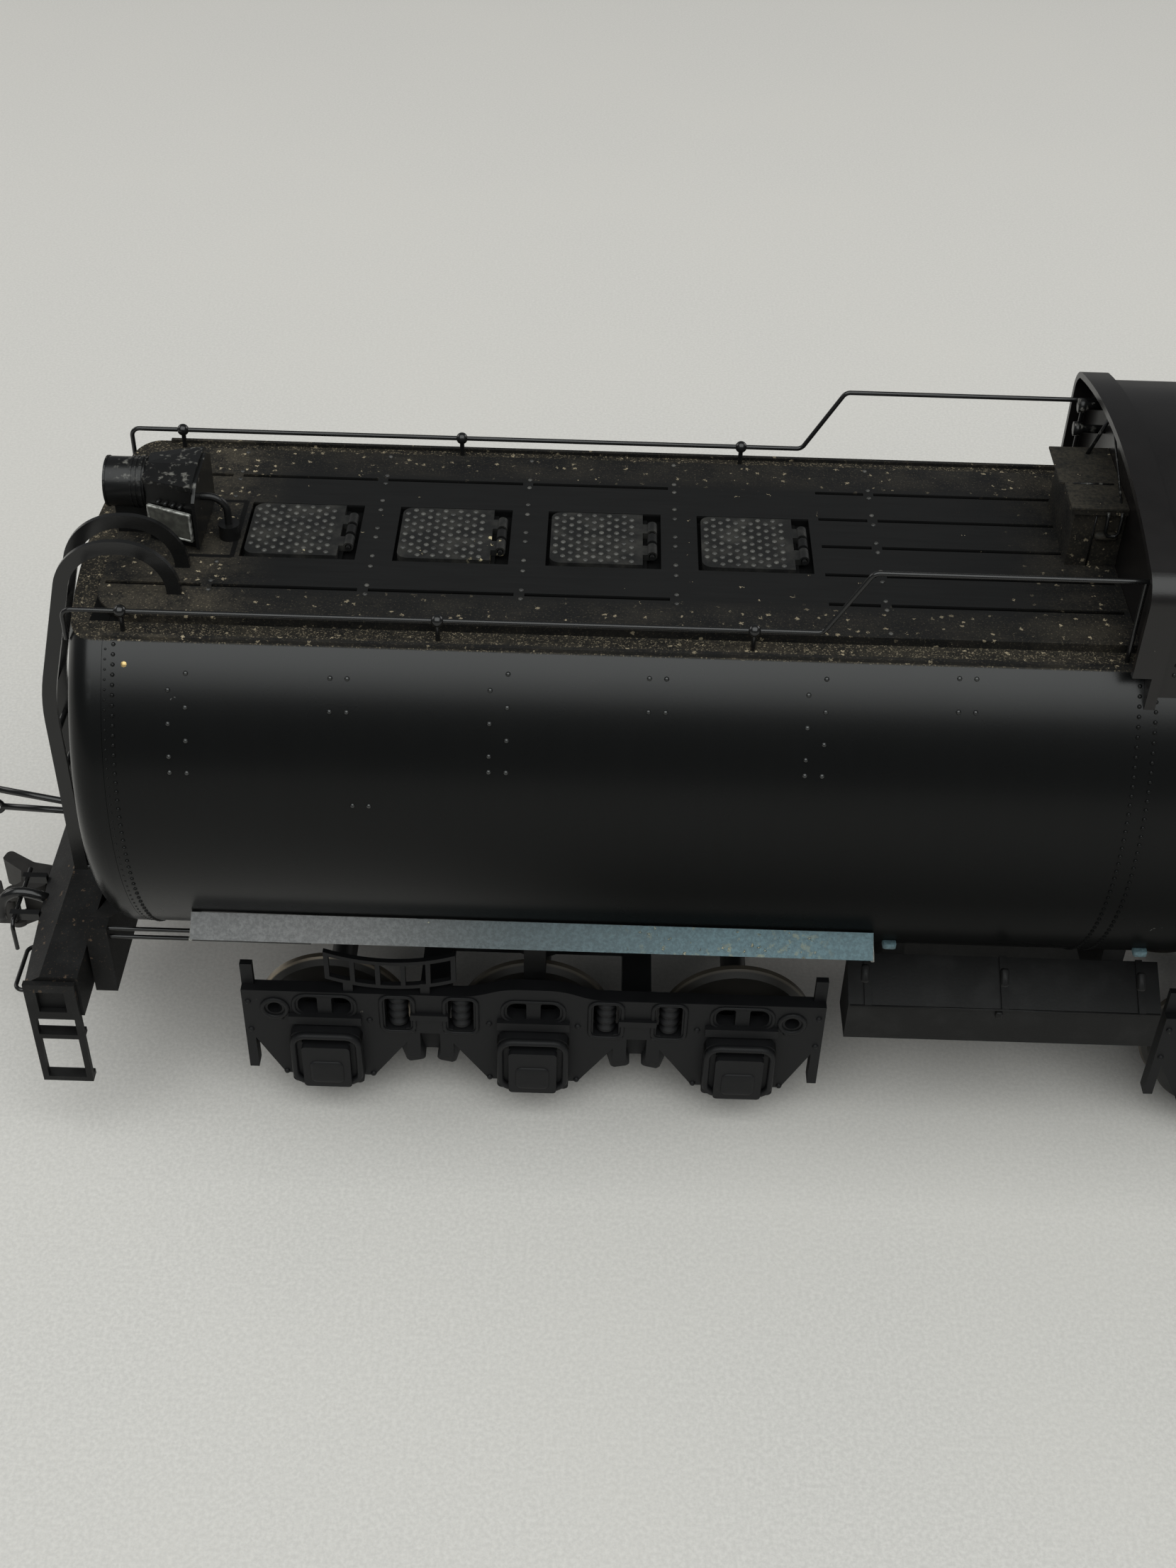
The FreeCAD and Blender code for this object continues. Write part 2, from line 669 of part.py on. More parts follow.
def lamp_conduit():
    """Conduit from the back of the lamp housing down to a round box on the deck."""
    x0 = lamp_rear + lamp_len + seat + housing_len + seat
    x1 = x0 + conduit_reach
    top = lamp_z - conduit_base_r / 2
    path = [(x0, conduit_y, top), (x1, conduit_y, top), (x1, conduit_y, deck_z + conduit_base_r)]
    base = rod((x1, conduit_y, deck_z), "z", conduit_base_r, 1.5 * conduit_base_r)
    return [fuse([bent_wire(path, conduit_r, conduit_bend), base])]


# ---------------------------------------------------------------- frame
def underframe():
    """Centre sill, belly, saddles that carry the barrel, and the two king pins."""
    ends = sill_x - sill_t
    around = tank_circle(-sill_x, sill_x, tank_r + seat)
    pieces = [box(-ends + seat, ends - seat, -spine_half, spine_half, spine_bottom, tank_bottom + saddle_t)]
    for x, half in ((-ends + end_saddle_inset, end_saddle_half), (-truck_offset, saddle_half),
                    (-box_saddle_x, saddle_half), (box_saddle_x, saddle_half), (truck_offset, saddle_half),
                    (ends - end_saddle_inset, end_saddle_half)):
        for side in (-1, 1):
            y0, y1 = sorted((side * (spine_half + seat), side * half))
            pieces.append(box(x - saddle_t / 2, x + saddle_t / 2, y0, y1, spine_bottom, spine_bottom + saddle_h))
    pieces = [piece.cut(around) for piece in pieces]
    pieces.append(box(-belly_half_len, belly_half_len, -spine_half, spine_half, belly_bottom, spine_bottom - seat))
    for x in (-truck_offset, truck_offset):
        pieces.append(rod((x, 0, spine_bottom - seat - pivot_len), "z", pivot_r, pivot_len))
    return pieces


def sill_face(y):
    """Outer face of the end sills at a distance from the centre line, from the middle of the tender."""
    return sill_x - sill_sweep * max(0.0, abs(y) - sill_flat) / (sill_half - sill_flat)


def end_sill(end):
    """One end sill, with the outer part of its top falling away and its ends swept in."""
    outer = end * sill_x
    inner = end * (sill_x - sill_t)
    section = [(outer, sill_bottom, 0), (inner, sill_bottom, 0), (inner, sill_top, 0),
               (outer - end * sill_ridge, sill_top, 0), (outer, sill_top - sill_slope, 0)]
    solid = slab(section, "y", -sill_half, 2 * sill_half)
    beyond = end * (sill_x + sill_sweep)
    for side in (-1, 1):
        wedge = [(outer, side * sill_flat, 0), (end * sill_face(sill_half), side * sill_half, 0),
                 (beyond, side * sill_half, 0), (beyond, side * sill_flat, 0)]
        solid = solid.cut(slab(wedge, "z", sill_bottom, sill_h))
    return [solid]


def corner_steps():
    """Corner plate with a square hole and a two-tread step of flat bar under it, at each corner."""
    pieces = []
    y0 = sill_half + seat
    y1 = y0 + step_bar
    plate_low = sill_bottom
    low = plate_low - step_drops[1]
    corner = sill_face(sill_half)
    for x0 in (-corner, corner - step_len):
        x1 = x0 + step_len
        plate = box(x0, x1, y0, y1, low, plate_low + step_plate_h)
        middle = (x0 + x1) / 2
        hole_low = plate_low + (step_plate_h - step_hole) / 2
        plate = plate.cut(box(middle - step_hole / 2, middle + step_hole / 2, y0, y1, hole_low,
                              hole_low + step_hole))
        tops = (plate_low, plate_low - step_drops[0])
        for top, drop in zip(tops, step_drops):
            plate = plate.cut(box(x0 + step_bar, x1 - step_bar, y0, y1, plate_low - drop + step_bar, top))
        treads = [box(x0, x1, y1 - tread_w, y1, plate_low - drop, plate_low - drop + step_bar) for drop in step_drops]
        pieces += both_sides(fuse([plate] + treads))
    return pieces


def running_boards():
    """Board of bent sheet along each flank above each truck, sloping down and outwards from the barrel."""
    pieces = []
    run = board_w / math.sqrt(2)
    rise = board_t / math.sqrt(2)
    top = (board_y, board_z)
    low = (board_y + run, board_z - run)
    section = [(*top, 0), (*low, 0), (low[0] + rise, low[1] + rise, 0), (top[0] + rise, top[1] + rise, 0)]
    gusset = [(*top, 0), (board_y - run, board_z - run, 0), (*low, 0)]
    for _, x in trucks:
        start = x - board_half_len
        parts = [slab(section, "x", start, 2 * board_half_len)]
        pitch = (2 * board_half_len - bracket_t) / (board_brackets - 1)
        parts += [slab(gusset, "x", start + n * pitch, bracket_t) for n in range(board_brackets)]
        around = tank_circle(start, start + 2 * board_half_len, tank_r + seat)
        pieces += both_sides(fuse(parts).cut(around))
    return pieces


def side_boxes():
    """Tool box with a sloping lid and strap hinges under each flank between the trucks."""
    y0 = saddle_half + seat
    y1 = y0 + side_box_w
    front = side_box_bottom + side_box_front_h
    back = side_box_bottom + side_box_back_h
    length = 2 * side_box_half_len
    parts = [slab([(y0, side_box_bottom, 0), (y1, side_box_bottom, 0), (y1, front, 0), (y0, back, 0)], "x",
                  -side_box_half_len, length)]
    strap = [(y0, back, 0), (y1, front, 0), (y1 + strap_t, front, 0), (y1 + strap_t, front + strap_t, 0),
             (y0, back + strap_t, 0)]
    reach = side_box_half_len - strap_inset
    parts += [slab(strap, "x", x - strap_w / 2, strap_w) for x in (-reach, 0, reach)]
    return both_sides(fuse(parts))


def coupler_pocket():
    """Draft gear box under the rear sill, open at the rear."""
    x0 = -sill_x - pocket_proud
    slot_low = coupler_z - shank_h / 2 - shank_gap
    slot_high = coupler_z + shank_h / 2 + shank_gap
    z0 = slot_low - pocket_floor
    top = sill_bottom - seat
    shell = box(x0, pocket_end, -pocket_half, pocket_half, z0, top)
    hollow = box(x0, pocket_end - pocket_wall, -pocket_half + pocket_wall, pocket_half - pocket_wall,
                 slot_low, slot_high)
    pin = rod((coupler_pivot_x, 0, z0), "z", pocket_pin_r, top - z0)
    return [fuse([shell.cut(hollow), pin])]


def knuckle_pivot():
    """Centre of the knuckle's pin, (x, y)."""
    return knuckle_at[0] - coupler_reach, knuckle_at[1]


def coupler_head():
    """Shank with an eye, and the coupler head with its fixed jaw."""
    z0 = coupler_z - shank_h / 2
    tip = -coupler_reach
    back = tip + head_outline[0][0]
    back_half = head_outline[1][1]
    pivot = rod((coupler_pivot_x, 0, z0), "z", eye_r, shank_h)
    shank = box(back - 2 * shank_gap, coupler_pivot_x, -shank_half, shank_half, z0, z0 + shank_h)
    head = slab([(tip + a, y, r) for a, y, r in head_outline], "z", coupler_z - head_h / 2, head_h)
    bore = rod((coupler_pivot_x, 0, z0), "z", pocket_pin_r + shank_gap, shank_h)
    kx, ky = knuckle_pivot()
    ears = []
    reach = knuckle_h / 2 + knuckle_bore_gap
    for low in (-reach - ear_t, reach):
        ears.append(rod((kx, ky, coupler_z + low), "z", ear_r, ear_t))
        ears.append(slab([(kx, ky - ear_r, 0), (back, -back_half, 0), (back, ear_foot, 0), (kx, ky + ear_r, 0)],
                         "z", coupler_z + low, ear_t))
    pin = rod((kx, ky, coupler_z - reach - ear_t), "z", knuckle_pin_r, 2 * (reach + ear_t))
    return [fuse([pivot, shank, head, pin] + ears).cut(bore)]


def knuckle():
    """Hooked knuckle beside the jaw."""
    tip = -coupler_reach
    low = coupler_z - knuckle_h / 2
    hook = slab([(tip + a, y, r) for a, y, r in hook_outline], "z", low, knuckle_h)
    kx, ky = knuckle_pivot()
    return [hook.cut(rod((kx, ky, low), "z", knuckle_pin_r + knuckle_bore_gap, knuckle_h))]


def drawbar_pin():
    """Post on a plate under the front end, on which the engine's drawbar drops."""
    top = spine_bottom - seat
    plate = box(drawbar_pin_x - spine_half, drawbar_pin_x + spine_half, -spine_half, spine_half,
                top - pocket_floor, top)
    pin = rod((drawbar_pin_x, 0, top - drawbar_pin_len), "z", drawbar_pin_r, drawbar_pin_len)
    return [fuse([plate, pin])]


def air_pipes():
    """Two pipes along each side, from the saddle at the rear end forward above the truck."""
    start = -sill_x + sill_t + end_saddle_inset + saddle_t / 2 + seat
    pieces = []
    for z in pipe_z:
        pieces += both_sides(rod((start, pipe_y, z), "x", wire_r, pipe_len))
    return pieces


def grab_irons():
    """Bent wire grab iron beside each corner, and the uncoupling lever in its two brackets on the rear sill."""
    pieces = []
    z = sill_bottom + grab_up
    near, far = grab_from, grab_from + grab_len
    for end in (-1, 1):
        path = [(end * (sill_face(near) + seat), near, z), (end * grab_x, near, z), (end * grab_x, far, z),
                (end * (sill_face(far) + seat), far, z)]
        pieces += both_sides(bent_wire(path, wire_r, wire_bend))
    inner, handle = (-y for y in lever_span)
    x = -(sill_x + lever_out)
    parts = [bent_wire([(x, inner, lever_z), (x, handle, lever_z), (x, handle, lever_z - lever_drop)], wire_r,
                       wire_bend)]
    for y in lever_eyes:
        parts.append(box(x - 2 * wire_r, -(sill_face(y - lever_eye_w / 2) + seat), -y - lever_eye_w / 2,
                         -y + lever_eye_w / 2, lever_z - 2 * wire_r, lever_z + 2 * wire_r))
    return pieces + [fuse(parts)]


# ---------------------------------------------------------------- trucks
def side_frame(x):
    """Cast side frame: pedestals, spring windows, openings above the journals and posts at its ends."""
    ends = side_half
    corners = [(x - ends, side_top, 0), (x - hump_half, side_top, 6), (x - hump_half / 2, side_top + side_hump, 6),
               (x + hump_half / 2, side_top + side_hump, 6), (x + hump_half, side_top, 6), (x + ends, side_top, 0),
               (x + ends, end_tab_low, 0), (x + ends - end_tab_w, end_tab_low, 0),
               (x + ends - end_tab_w, side_end_z, 0)]
    slant = axle_pitch / 2 - arch_half
    for _, offset in reversed(axles):
        centre = x + offset
        corners += [(centre + slant, side_span_z, 0.4), (centre + pedestal_half, side_low, 0.4),
                    (centre - pedestal_half, side_low, 0.4), (centre - slant, side_span_z, 0.4)]
    # the outer slants of the end pedestals run to the tabs
    corners = [(u, v, r) for u, v, r in corners if v != side_span_z or abs(u - x) < axle_pitch]
    corners += [(x - ends + end_tab_w, side_end_z, 0), (x - ends + end_tab_w, end_tab_low, 0),
                (x - ends, end_tab_low, 0)]
    solid = slab(corners, "y", side_in, side_t)
    for hole in frame_openings(x):
        solid = solid.cut(hole)
    return fuse([solid] + frame_fittings(x))


def frame_openings(x):
    """What is cut through a side frame."""
    holes = []
    for _, offset in axles:
        centre = x + offset
        top = side_top - kidney_drop
        for side in (-1, 1):
            near = centre + side * kidney_web / 2
            far = near + side * kidney_w
            holes.append(slab([(near, top - kidney_h, 0.2), (far, top - kidney_h, 0.7), (far, top, 0.7),
                               (near, top, 0.2)], "y", side_in, side_t))
        holes.append(rod((centre, side_in, axle_z), "y", journal_r + running_gap, side_t))
    for wx in window_places(x):
        holes.append(slab([(wx - window_w / 2, window_top - window_h, 0.25),
                           (wx + window_w / 2, window_top - window_h, 0.25),
                           (wx + window_w / 2, window_top, 0.25), (wx - window_w / 2, window_top, 0.25)], "y",
                          side_in, side_t))
    for side in (-1, 1):
        holes.append(rod((x + side * (side_half - end_hole_inset), side_in, side_top - end_hole_drop), "y",
                         end_hole_r, side_t))
    return holes


def frame_fittings(x):
    """Posts on the ends, ties and brake hangers between the windows, and the ledges above the lids."""
    face = side_in + side_t
    length, thick, height = end_post
    pieces = []
    for side in (-1, 1):
        x0, x1 = sorted((x + side * side_half, x + side * (side_half - length)))
        pieces.append(box(x0, x1, side_in, side_in + thick, side_top - thick, side_top + height))
        middle = x + side * axle_pitch / 2
        tie_z = window_top - window_h * 0.62
        gap = window_shift - window_w / 2
        pieces.append(box(middle - gap, middle + gap, face - tie_t, face + tie_t, tie_z, tie_z + tie_h))
        for shift in (-hanger_shift, hanger_shift):
            pieces.append(slab([(middle + shift - hanger_w / 2, side_span_z + tie_h, 0),
                                (middle + shift - hanger_w / 2, side_span_z - hanger_drop, 0.2),
                                (middle + shift + hanger_w / 2, side_span_z - hanger_drop, 0.2),
                                (middle + shift + hanger_w / 2, side_span_z + tie_h, 0)], "y", side_in, side_t))
    for _, offset in axles:
        low = hood_top + band_gap
        pieces.append(box(x + offset - hood_half, x + offset + hood_half, face - tie_t, face + band_t, low,
                          low + band_h))
    return pieces


def window_places(x):
    """Middles of the four spring windows of a side frame."""
    return [x + side * axle_pitch / 2 + shift for side in (-1, 1) for shift in (-window_shift, window_shift)]


def bearing_arc(x, outward):
    """Sagging lattice of two rails and posts on the outer half of a side frame, on two feet."""
    start = x + outward * (side_half - arc_inset)
    top = side_top + arc_rise

    def sag(part, drop):
        return (start - outward * arc_len * part, top - drop - arc_sag * 4 * part * (1 - part))

    def rail(drop):
        points = [V(u, arc_y, v) for u, v in (sag(0, drop), sag(0.5, drop), sag(1, drop))]
        lower = [p - V(0, 0, arc_bar) for p in points]
        edges = [Part.Arc(*points), Part.LineSegment(points[2], lower[2]), Part.Arc(*lower[::-1]),
                 Part.LineSegment(lower[0], points[0])]
        return Part.Face(Part.Wire([edge.toShape() for edge in edges])).extrude(V(0, arc_t, 0))
    pieces = [rail(0), rail(arc_h)]
    for n in range(arc_bays + 1):
        u, v = sag(n / arc_bays, 0)
        u += outward * arc_bar * (n / arc_bays - 0.5)
        pieces.append(box(u - arc_bar / 2, u + arc_bar / 2, arc_y, arc_y + arc_t, v - arc_h - arc_bar / 2,
                          v - arc_bar / 2))
    for part in arc_feet:
        u, v = sag(part, arc_h)
        pieces.append(box(u - arc_bar, u + arc_bar, arc_y, arc_y + arc_t, side_top - arc_bar, v))
    return pieces


def truck_sides(x):
    """Both side frames of a truck, each with the lattice arc on its outer half."""
    outward = 1 if x > 0 else -1
    return both_sides(fuse([side_frame(x)] + bearing_arc(x, outward)))


def truck_transom(x):
    """Transoms between the axles, joined by the centre bearer and its plate."""
    z0 = axle_z - journal_r / 2
    half = axle_pitch / 2
    pieces = [box(x + side * half - transom_w / 2, x + side * half + transom_w / 2, -side_in, side_in, z0,
                  z0 + transom_h) for side in (-1, 1)]
    low = axle_z + axle_r + running_gap
    top = spine_bottom - running_gap
    pieces.append(box(x - half, x + half, -bearer_half, bearer_half, low, z0 + transom_h))
    pieces.append(rod((x, 0, low), "z", plate_r, top - low))
    return [fuse(pieces).cut(rod((x, 0, low), "z", pivot_r + running_gap / 2, top - low))]


def truck_boxes(x):
    """Journal boxes: a hood, a slot and the lid that closes over the end of the journal."""
    pieces = []
    y0 = side_in + side_t + seat
    lid_top = hood_top - hood_t - slot_h
    for _, offset in axles:
        cx = x + offset
        hood = slab([(cx - hood_half, side_low, 0.4), (cx + hood_half, side_low, 0.4), (cx + hood_half, hood_top, 1.0),
                     (cx - hood_half, hood_top, 1.0)], "y", y0, hood_t)
        slot = box(cx - lid_half_w, cx + lid_half_w, y0 + hood_t / 2, y0 + hood_t, lid_top, lid_top + slot_h)
        lid = slab([(cx - lid_half_w, side_low + seat, 0.3), (cx + lid_half_w, side_low + seat, 0.3),
                    (cx + lid_half_w, lid_top, 0.3), (cx - lid_half_w, lid_top, 0.3)], "y", y0, hood_t + lid_proud)
        hollow = rod((cx, y0, axle_z), "y", journal_r + running_gap, journal_end - y0 + running_gap)
        pieces += both_sides(fuse([hood.cut(slot), lid]).cut(hollow))
    return pieces


def truck_springs(x):
    """Coil springs in the windows of the side frames, as ridged columns."""
    pieces = []
    y = side_in + side_t - spring_r
    low = window_top - window_h + seat
    pitch = (window_h - 2 * seat) / spring_turns
    profile = [(0, 0)]
    for n in range(spring_turns):
        profile += [(n * pitch, spring_core), (n * pitch + pitch * 0.35, spring_r), (n * pitch + pitch * 0.65, spring_r)]
    profile += [(spring_turns * pitch, spring_core), (spring_turns * pitch, 0)]
    for wx in window_places(x):
        pieces += both_sides(turned(profile, (wx, y, low), "z"))
    return pieces


def wheelset(x):
    """Axle with two flanged wheels, turned in one."""
    b = wheel_back
    outer = b + wheel_w
    side = [(b, axle_r), (b, flange_r), (b + flange_w / 2, flange_r), (b + flange_w, wheel_r),
            (outer, wheel_r - flange_h / 4), (outer, wheel_r - tyre_face), (outer - flange_w, wheel_r - 2 * flange_h),
            (outer - flange_w, 2 * axle_r), (outer, 2 * axle_r), (outer, journal_r), (journal_end, journal_r),
            (journal_end, 0)]
    profile = [(-a, r) for a, r in reversed(side)] + side
    return [turned(profile, (x, 0, axle_z), "y")]


# ---------------------------------------------------------------- build
def build():
    """Every sub-part, by node name."""
    nodes = {
        "tank_barrel": tank_barrel(), "rear_head": rear_head(), "front_head": front_head(),
        "deck_planks": deck_planks(), "deck_ledges": deck_ledges(), "hatch_coamings": hatch_coamings(),
        "bulkhead": bulkhead(), "oil_bunker": oil_bunker(), "bunker_hatch": bunker_hatch(),
        "deck_box": deck_box(), "handrails": handrails(), "ladder": ladder(), "headlamp": headlamp(),
        "number_housing": number_housing(), "lamp_conduit": lamp_conduit(), "underframe": underframe(),
        "rear_sill": end_sill(-1), "front_sill": end_sill(1),
        "corner_steps": corner_steps(), "running_boards": running_boards(), "side_boxes": side_boxes(),
        "coupler_pocket": coupler_pocket(), "coupler_head": coupler_head(), "knuckle": knuckle(),
        "drawbar_pin": drawbar_pin(), "air_pipes": air_pipes(), "grab_irons": grab_irons(),
    }
    for number, x in hatches:
        nodes["hatch_lid_%d" % number] = hatch_lid(x)
    for end, x in trucks:
        nodes[end + "_truck_sides"] = truck_sides(x)
        nodes[end + "_truck_transom"] = truck_transom(x)
        nodes[end + "_truck_boxes"] = truck_boxes(x)
        nodes[end + "_truck_springs"] = truck_springs(x)
        for number, offset in axles:
            nodes["%s_wheelset_%s" % (end, number)] = wheelset(x + offset)
    return nodes


os.makedirs("parts", exist_ok=True)
for node, solids in build().items():
    save(node, solids)
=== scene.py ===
"""Dressing of a scale model tender: rivets, bolts, treads, plates, wires and paint over its solids.

Lengths are in metres. Stations along X are counted from the middle between the two trucks.
"""
import math

import bpy
import numpy as np
from bpy.props import FloatProperty, FloatVectorProperty, PointerProperty
from mathutils import Matrix, Vector


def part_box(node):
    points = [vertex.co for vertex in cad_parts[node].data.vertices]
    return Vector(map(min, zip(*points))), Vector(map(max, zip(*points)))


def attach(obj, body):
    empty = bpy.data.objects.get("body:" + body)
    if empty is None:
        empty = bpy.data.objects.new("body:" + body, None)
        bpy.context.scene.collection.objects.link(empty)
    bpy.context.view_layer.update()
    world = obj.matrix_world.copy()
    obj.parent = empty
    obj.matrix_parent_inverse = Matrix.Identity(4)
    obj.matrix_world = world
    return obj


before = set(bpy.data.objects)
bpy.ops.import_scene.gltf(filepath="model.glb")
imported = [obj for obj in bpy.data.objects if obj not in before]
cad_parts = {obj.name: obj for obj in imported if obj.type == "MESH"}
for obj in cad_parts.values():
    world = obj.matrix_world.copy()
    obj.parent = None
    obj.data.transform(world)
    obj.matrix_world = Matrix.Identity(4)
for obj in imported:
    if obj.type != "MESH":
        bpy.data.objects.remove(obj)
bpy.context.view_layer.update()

bl_info = {
    "name": "Model Tender Dressing",
    "version": (1, 0, 0),
    "blender": (4, 5, 0),
    "location": "3D Viewport > Sidebar > Tender",
    "description": "Rivets, bolts, tread plates, fittings and paint for a brass model tender",
    "category": "Object",
}

MM = 0.001


# ---------- places taken from the frame
def corners(node):
    """Lowest and highest corner of a node as arrays."""
    low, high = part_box(node)
    return np.array(low), np.array(high)


BARREL_LOW, BARREL_HIGH = corners("tank_barrel")
TANK_R = (BARREL_HIGH[1] - BARREL_LOW[1]) / 2
AXIS_Z = BARREL_LOW[2] + TANK_R
LEDGE_Z = BARREL_HIGH[2]
DECK_LOW, DECK_HIGH = corners("deck_planks")
DECK_Z = DECK_HIGH[2]
DECK_HALF = DECK_HIGH[1]
MIDDLE = sum(corners(end + "_truck_transom")[k][0] for end in ("rear", "front") for k in (0, 1)) / 4


def station(value):
    """X of a station given in millimetres from the middle between the trucks."""
    return MIDDLE + value * MM


def mm(*values):
    """Array of lengths or points given in millimetres."""
    return np.array(values) * MM


def points_at(x, y, z):
    """Points from three coordinates, each a number or an array."""
    return np.stack(np.broadcast_arrays(x, y, z), -1)


# ---------- sizes and colours
def length(name, note, value):
    """Setting that holds a length, given in millimetres."""
    return FloatProperty(name=name, description=note, default=value * MM, unit="LENGTH", precision=5)


def angle(name, note, value):
    """Setting that holds an angle."""
    return FloatProperty(name=name, description=note, default=value, subtype="ANGLE")


def tint(name, note, *value):
    """Setting that holds a colour."""
    return FloatVectorProperty(name=name, description=note, default=value, subtype="COLOR")


class TenderRivets(bpy.types.PropertyGroup):
    """Rivets and bolts."""
    radius: length("Rivet radius", "Radius of a rivet head", 0.17)
    rise: length("Rivet rise", "Height of a rivet head", 0.12)
    bolt_radius: length("Bolt radius", "Radius of a deck bolt", 0.17)


class TenderTreads(bpy.types.PropertyGroup):
    """Tread pattern of the hatch lids."""
    pitch: length("Dot pitch", "Distance between the raised dots of a row", 1.02)
    row: length("Row pitch", "Distance between two rows of dots", 0.41)
    radius: length("Dot radius", "Radius of a raised dot", 0.19)
    rise: length("Dot rise", "Height of a raised dot", 0.11)


class TenderPaint(bpy.types.PropertyGroup):
    """Colours."""
    lacquer: tint("Lacquer", "Satin black of the tank", 0.0038, 0.004, 0.004)
    flat: tint("Flat black", "Black of the deck and the frame", 0.0052, 0.0052, 0.0052)
    casting: tint("Casting black", "Black of the trucks", 0.0056, 0.0057, 0.0062)
    board: tint("Board grey", "Pebbled grey of the running boards", 0.064, 0.077, 0.081)
    dust: tint("Dust", "Dust and flecks on the level faces", 0.3, 0.25, 0.17)
    steel: tint("Steel", "Bare treads of the wheels", 0.42, 0.36, 0.28)
    brass: tint("Brass", "Brass where the paint is gone", 0.62, 0.45, 0.2)
    paper: tint("Paper", "Pale grey paper under the model", 0.6, 0.583, 0.556)


class TenderStage(bpy.types.PropertyGroup):
    """Camera and floor."""
    elevation: angle("Elevation", "Camera above the horizon", 0.70916)
    azimuth: angle("Azimuth", "Camera's turn about the vertical", 0.00164)
    roll: angle("Roll", "Camera's turn about its own axis", 0.0301)
    aim: FloatVectorProperty(name="Aim", description="Middle of the view, from the floor between the trucks",
                             default=(-30.59 * MM, 0.0, 23.11 * MM), unit="LENGTH")
    distance: length("Distance", "Camera from the aim", 145.62)
    lens: FloatProperty(name="Lens", description="Millimetres, on a 36 mm sensor", default=44.76)
    floor: length("Floor", "Half-width of the floor", 1400)


GROUPS = {"tender_rivets": TenderRivets, "tender_treads": TenderTreads, "tender_paint": TenderPaint,
          "tender_stage": TenderStage}


# ---------- surfaces
def piece(name, shapes, maker, body="tank", smooth=True):
    """Add a piece made of (points, faces) shapes, riding on a body and wearing a finish."""
    points, faces, shift = [], [], 0
    for shape_points, shape_faces in shapes:
        points.append(shape_points)
        faces += [[index + shift for index in face] for face in shape_faces]
        shift += len(shape_points)
    mesh = bpy.data.meshes.new(name)
    mesh.from_pydata(np.concatenate(points).tolist(), [], faces)
    mesh.polygons.foreach_set("use_smooth", np.full(len(mesh.polygons), smooth))
    mesh.materials.append(finish(maker))
    mesh.update()
    item = bpy.data.objects.new(name, mesh)
    bpy.context.scene.collection.objects.link(item)
    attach(item, body)


def ring_faces(rows, count, loop=False):
    """Quads between rows of closed rings of count points; with loop the last row joins the first again."""
    r, k = np.meshgrid(np.arange(rows if loop else rows - 1), np.arange(count), indexing="ij")
    after, above = (k + 1) % count, (r + 1) % rows
    quads = [r * count + k, r * count + after, above * count + after, above * count + k]
    return np.stack(quads, -1).reshape(-1, 4)


def circles(along, helper, sides):
    """For each direction n the unit circle cos a t + sin a b, a in 0..2 pi, square to it."""
    t = np.cross(along, helper)
    t /= np.linalg.norm(t, axis=1, keepdims=True)
    b = np.cross(along, t)
    angle = np.arange(sides)[:, None] * 2 * np.pi / sides
    return np.cos(angle) * t[:, None] + np.sin(angle) * b[:, None]


def domes(centres, normals, radius, rise, sides=8):
    """Low rivet heads: for each centre c and unit normal n the rings c + r (cos a t + sin a b) + h n.

    The radii r and heights h follow a flattened quarter circle, and a fan closes the crown.
    """
    centres = np.asarray(centres, float)
    normals = np.broadcast_to(np.asarray(normals, float), centres.shape)
    helper = np.where(np.abs(normals[:, :1]) > 0.9, [[0.0, 1.0, 0.0]], [[1.0, 0.0, 0.0]])
    rings = np.array([[1.0, -0.3], [1.0, 0.1], [0.72, 0.72]]) * [radius, rise]
    r, h = rings.T[:, None, :, None, None]
    body = centres[:, None, None] + r * circles(normals, helper, sides)[:, None] + h * normals[:, None, None]
    crown = centres + normals * rise
    points = np.concatenate([body.reshape(len(centres), -1, 3), crown[:, None, :]], 1)
    k = np.arange(sides)
    last, tip = (len(rings) - 1) * sides, len(rings) * sides
    fan = np.stack([last + k, last + (k + 1) % sides, np.full(sides, tip)], -1)
    shift = np.arange(len(centres))[:, None, None] * (tip + 1)
    quads, fans = ring_faces(len(rings), sides)[None] + shift, fan[None] + shift
    return points.reshape(-1, 3), quads.reshape(-1, 4).tolist() + fans.reshape(-1, 3).tolist()


def tube(path, radius, sides=10):
    """Round wire: circles of a radius in millimetres carried along a path, square to it, with closed ends."""
    path = np.asarray(path, float)
    radius = np.broadcast_to(mm(radius).ravel(), (len(path),))
    along = np.gradient(path, axis=0)
    along /= np.linalg.norm(along, axis=1, keepdims=True)
    helper = [0.0, 0.0, 1.0] if np.abs(along[:, 2]).max() < 0.9 else [0.31, 0.9, 0.3]
    points = path[:, None, :] + circles(along, helper, sides) * radius[:, None, None]
    faces = ring_faces(len(path), sides).tolist()
    faces += [list(range(sides))[::-1], [(len(path) - 1) * sides + k for k in range(sides)]]
    return points.reshape(-1, 3), [face[::-1] for face in faces]


def eye(centre, reach, radius, steps=20, sides=8):
    """Eye of a rod in the XZ plane: circles of a radius carried round a circle of reach, closed on itself."""
    turns = [np.arange(count) * 2 * np.pi / count for count in (steps, sides)]
    a, b = np.meshgrid(*turns, indexing="ij")
    out = reach + radius * np.cos(b)
    points = centre + points_at(out * np.cos(a), radius * np.sin(b), out * np.sin(a)).reshape(-1, 3)
    return points, ring_faces(steps, sides, True)[:, ::-1].tolist()


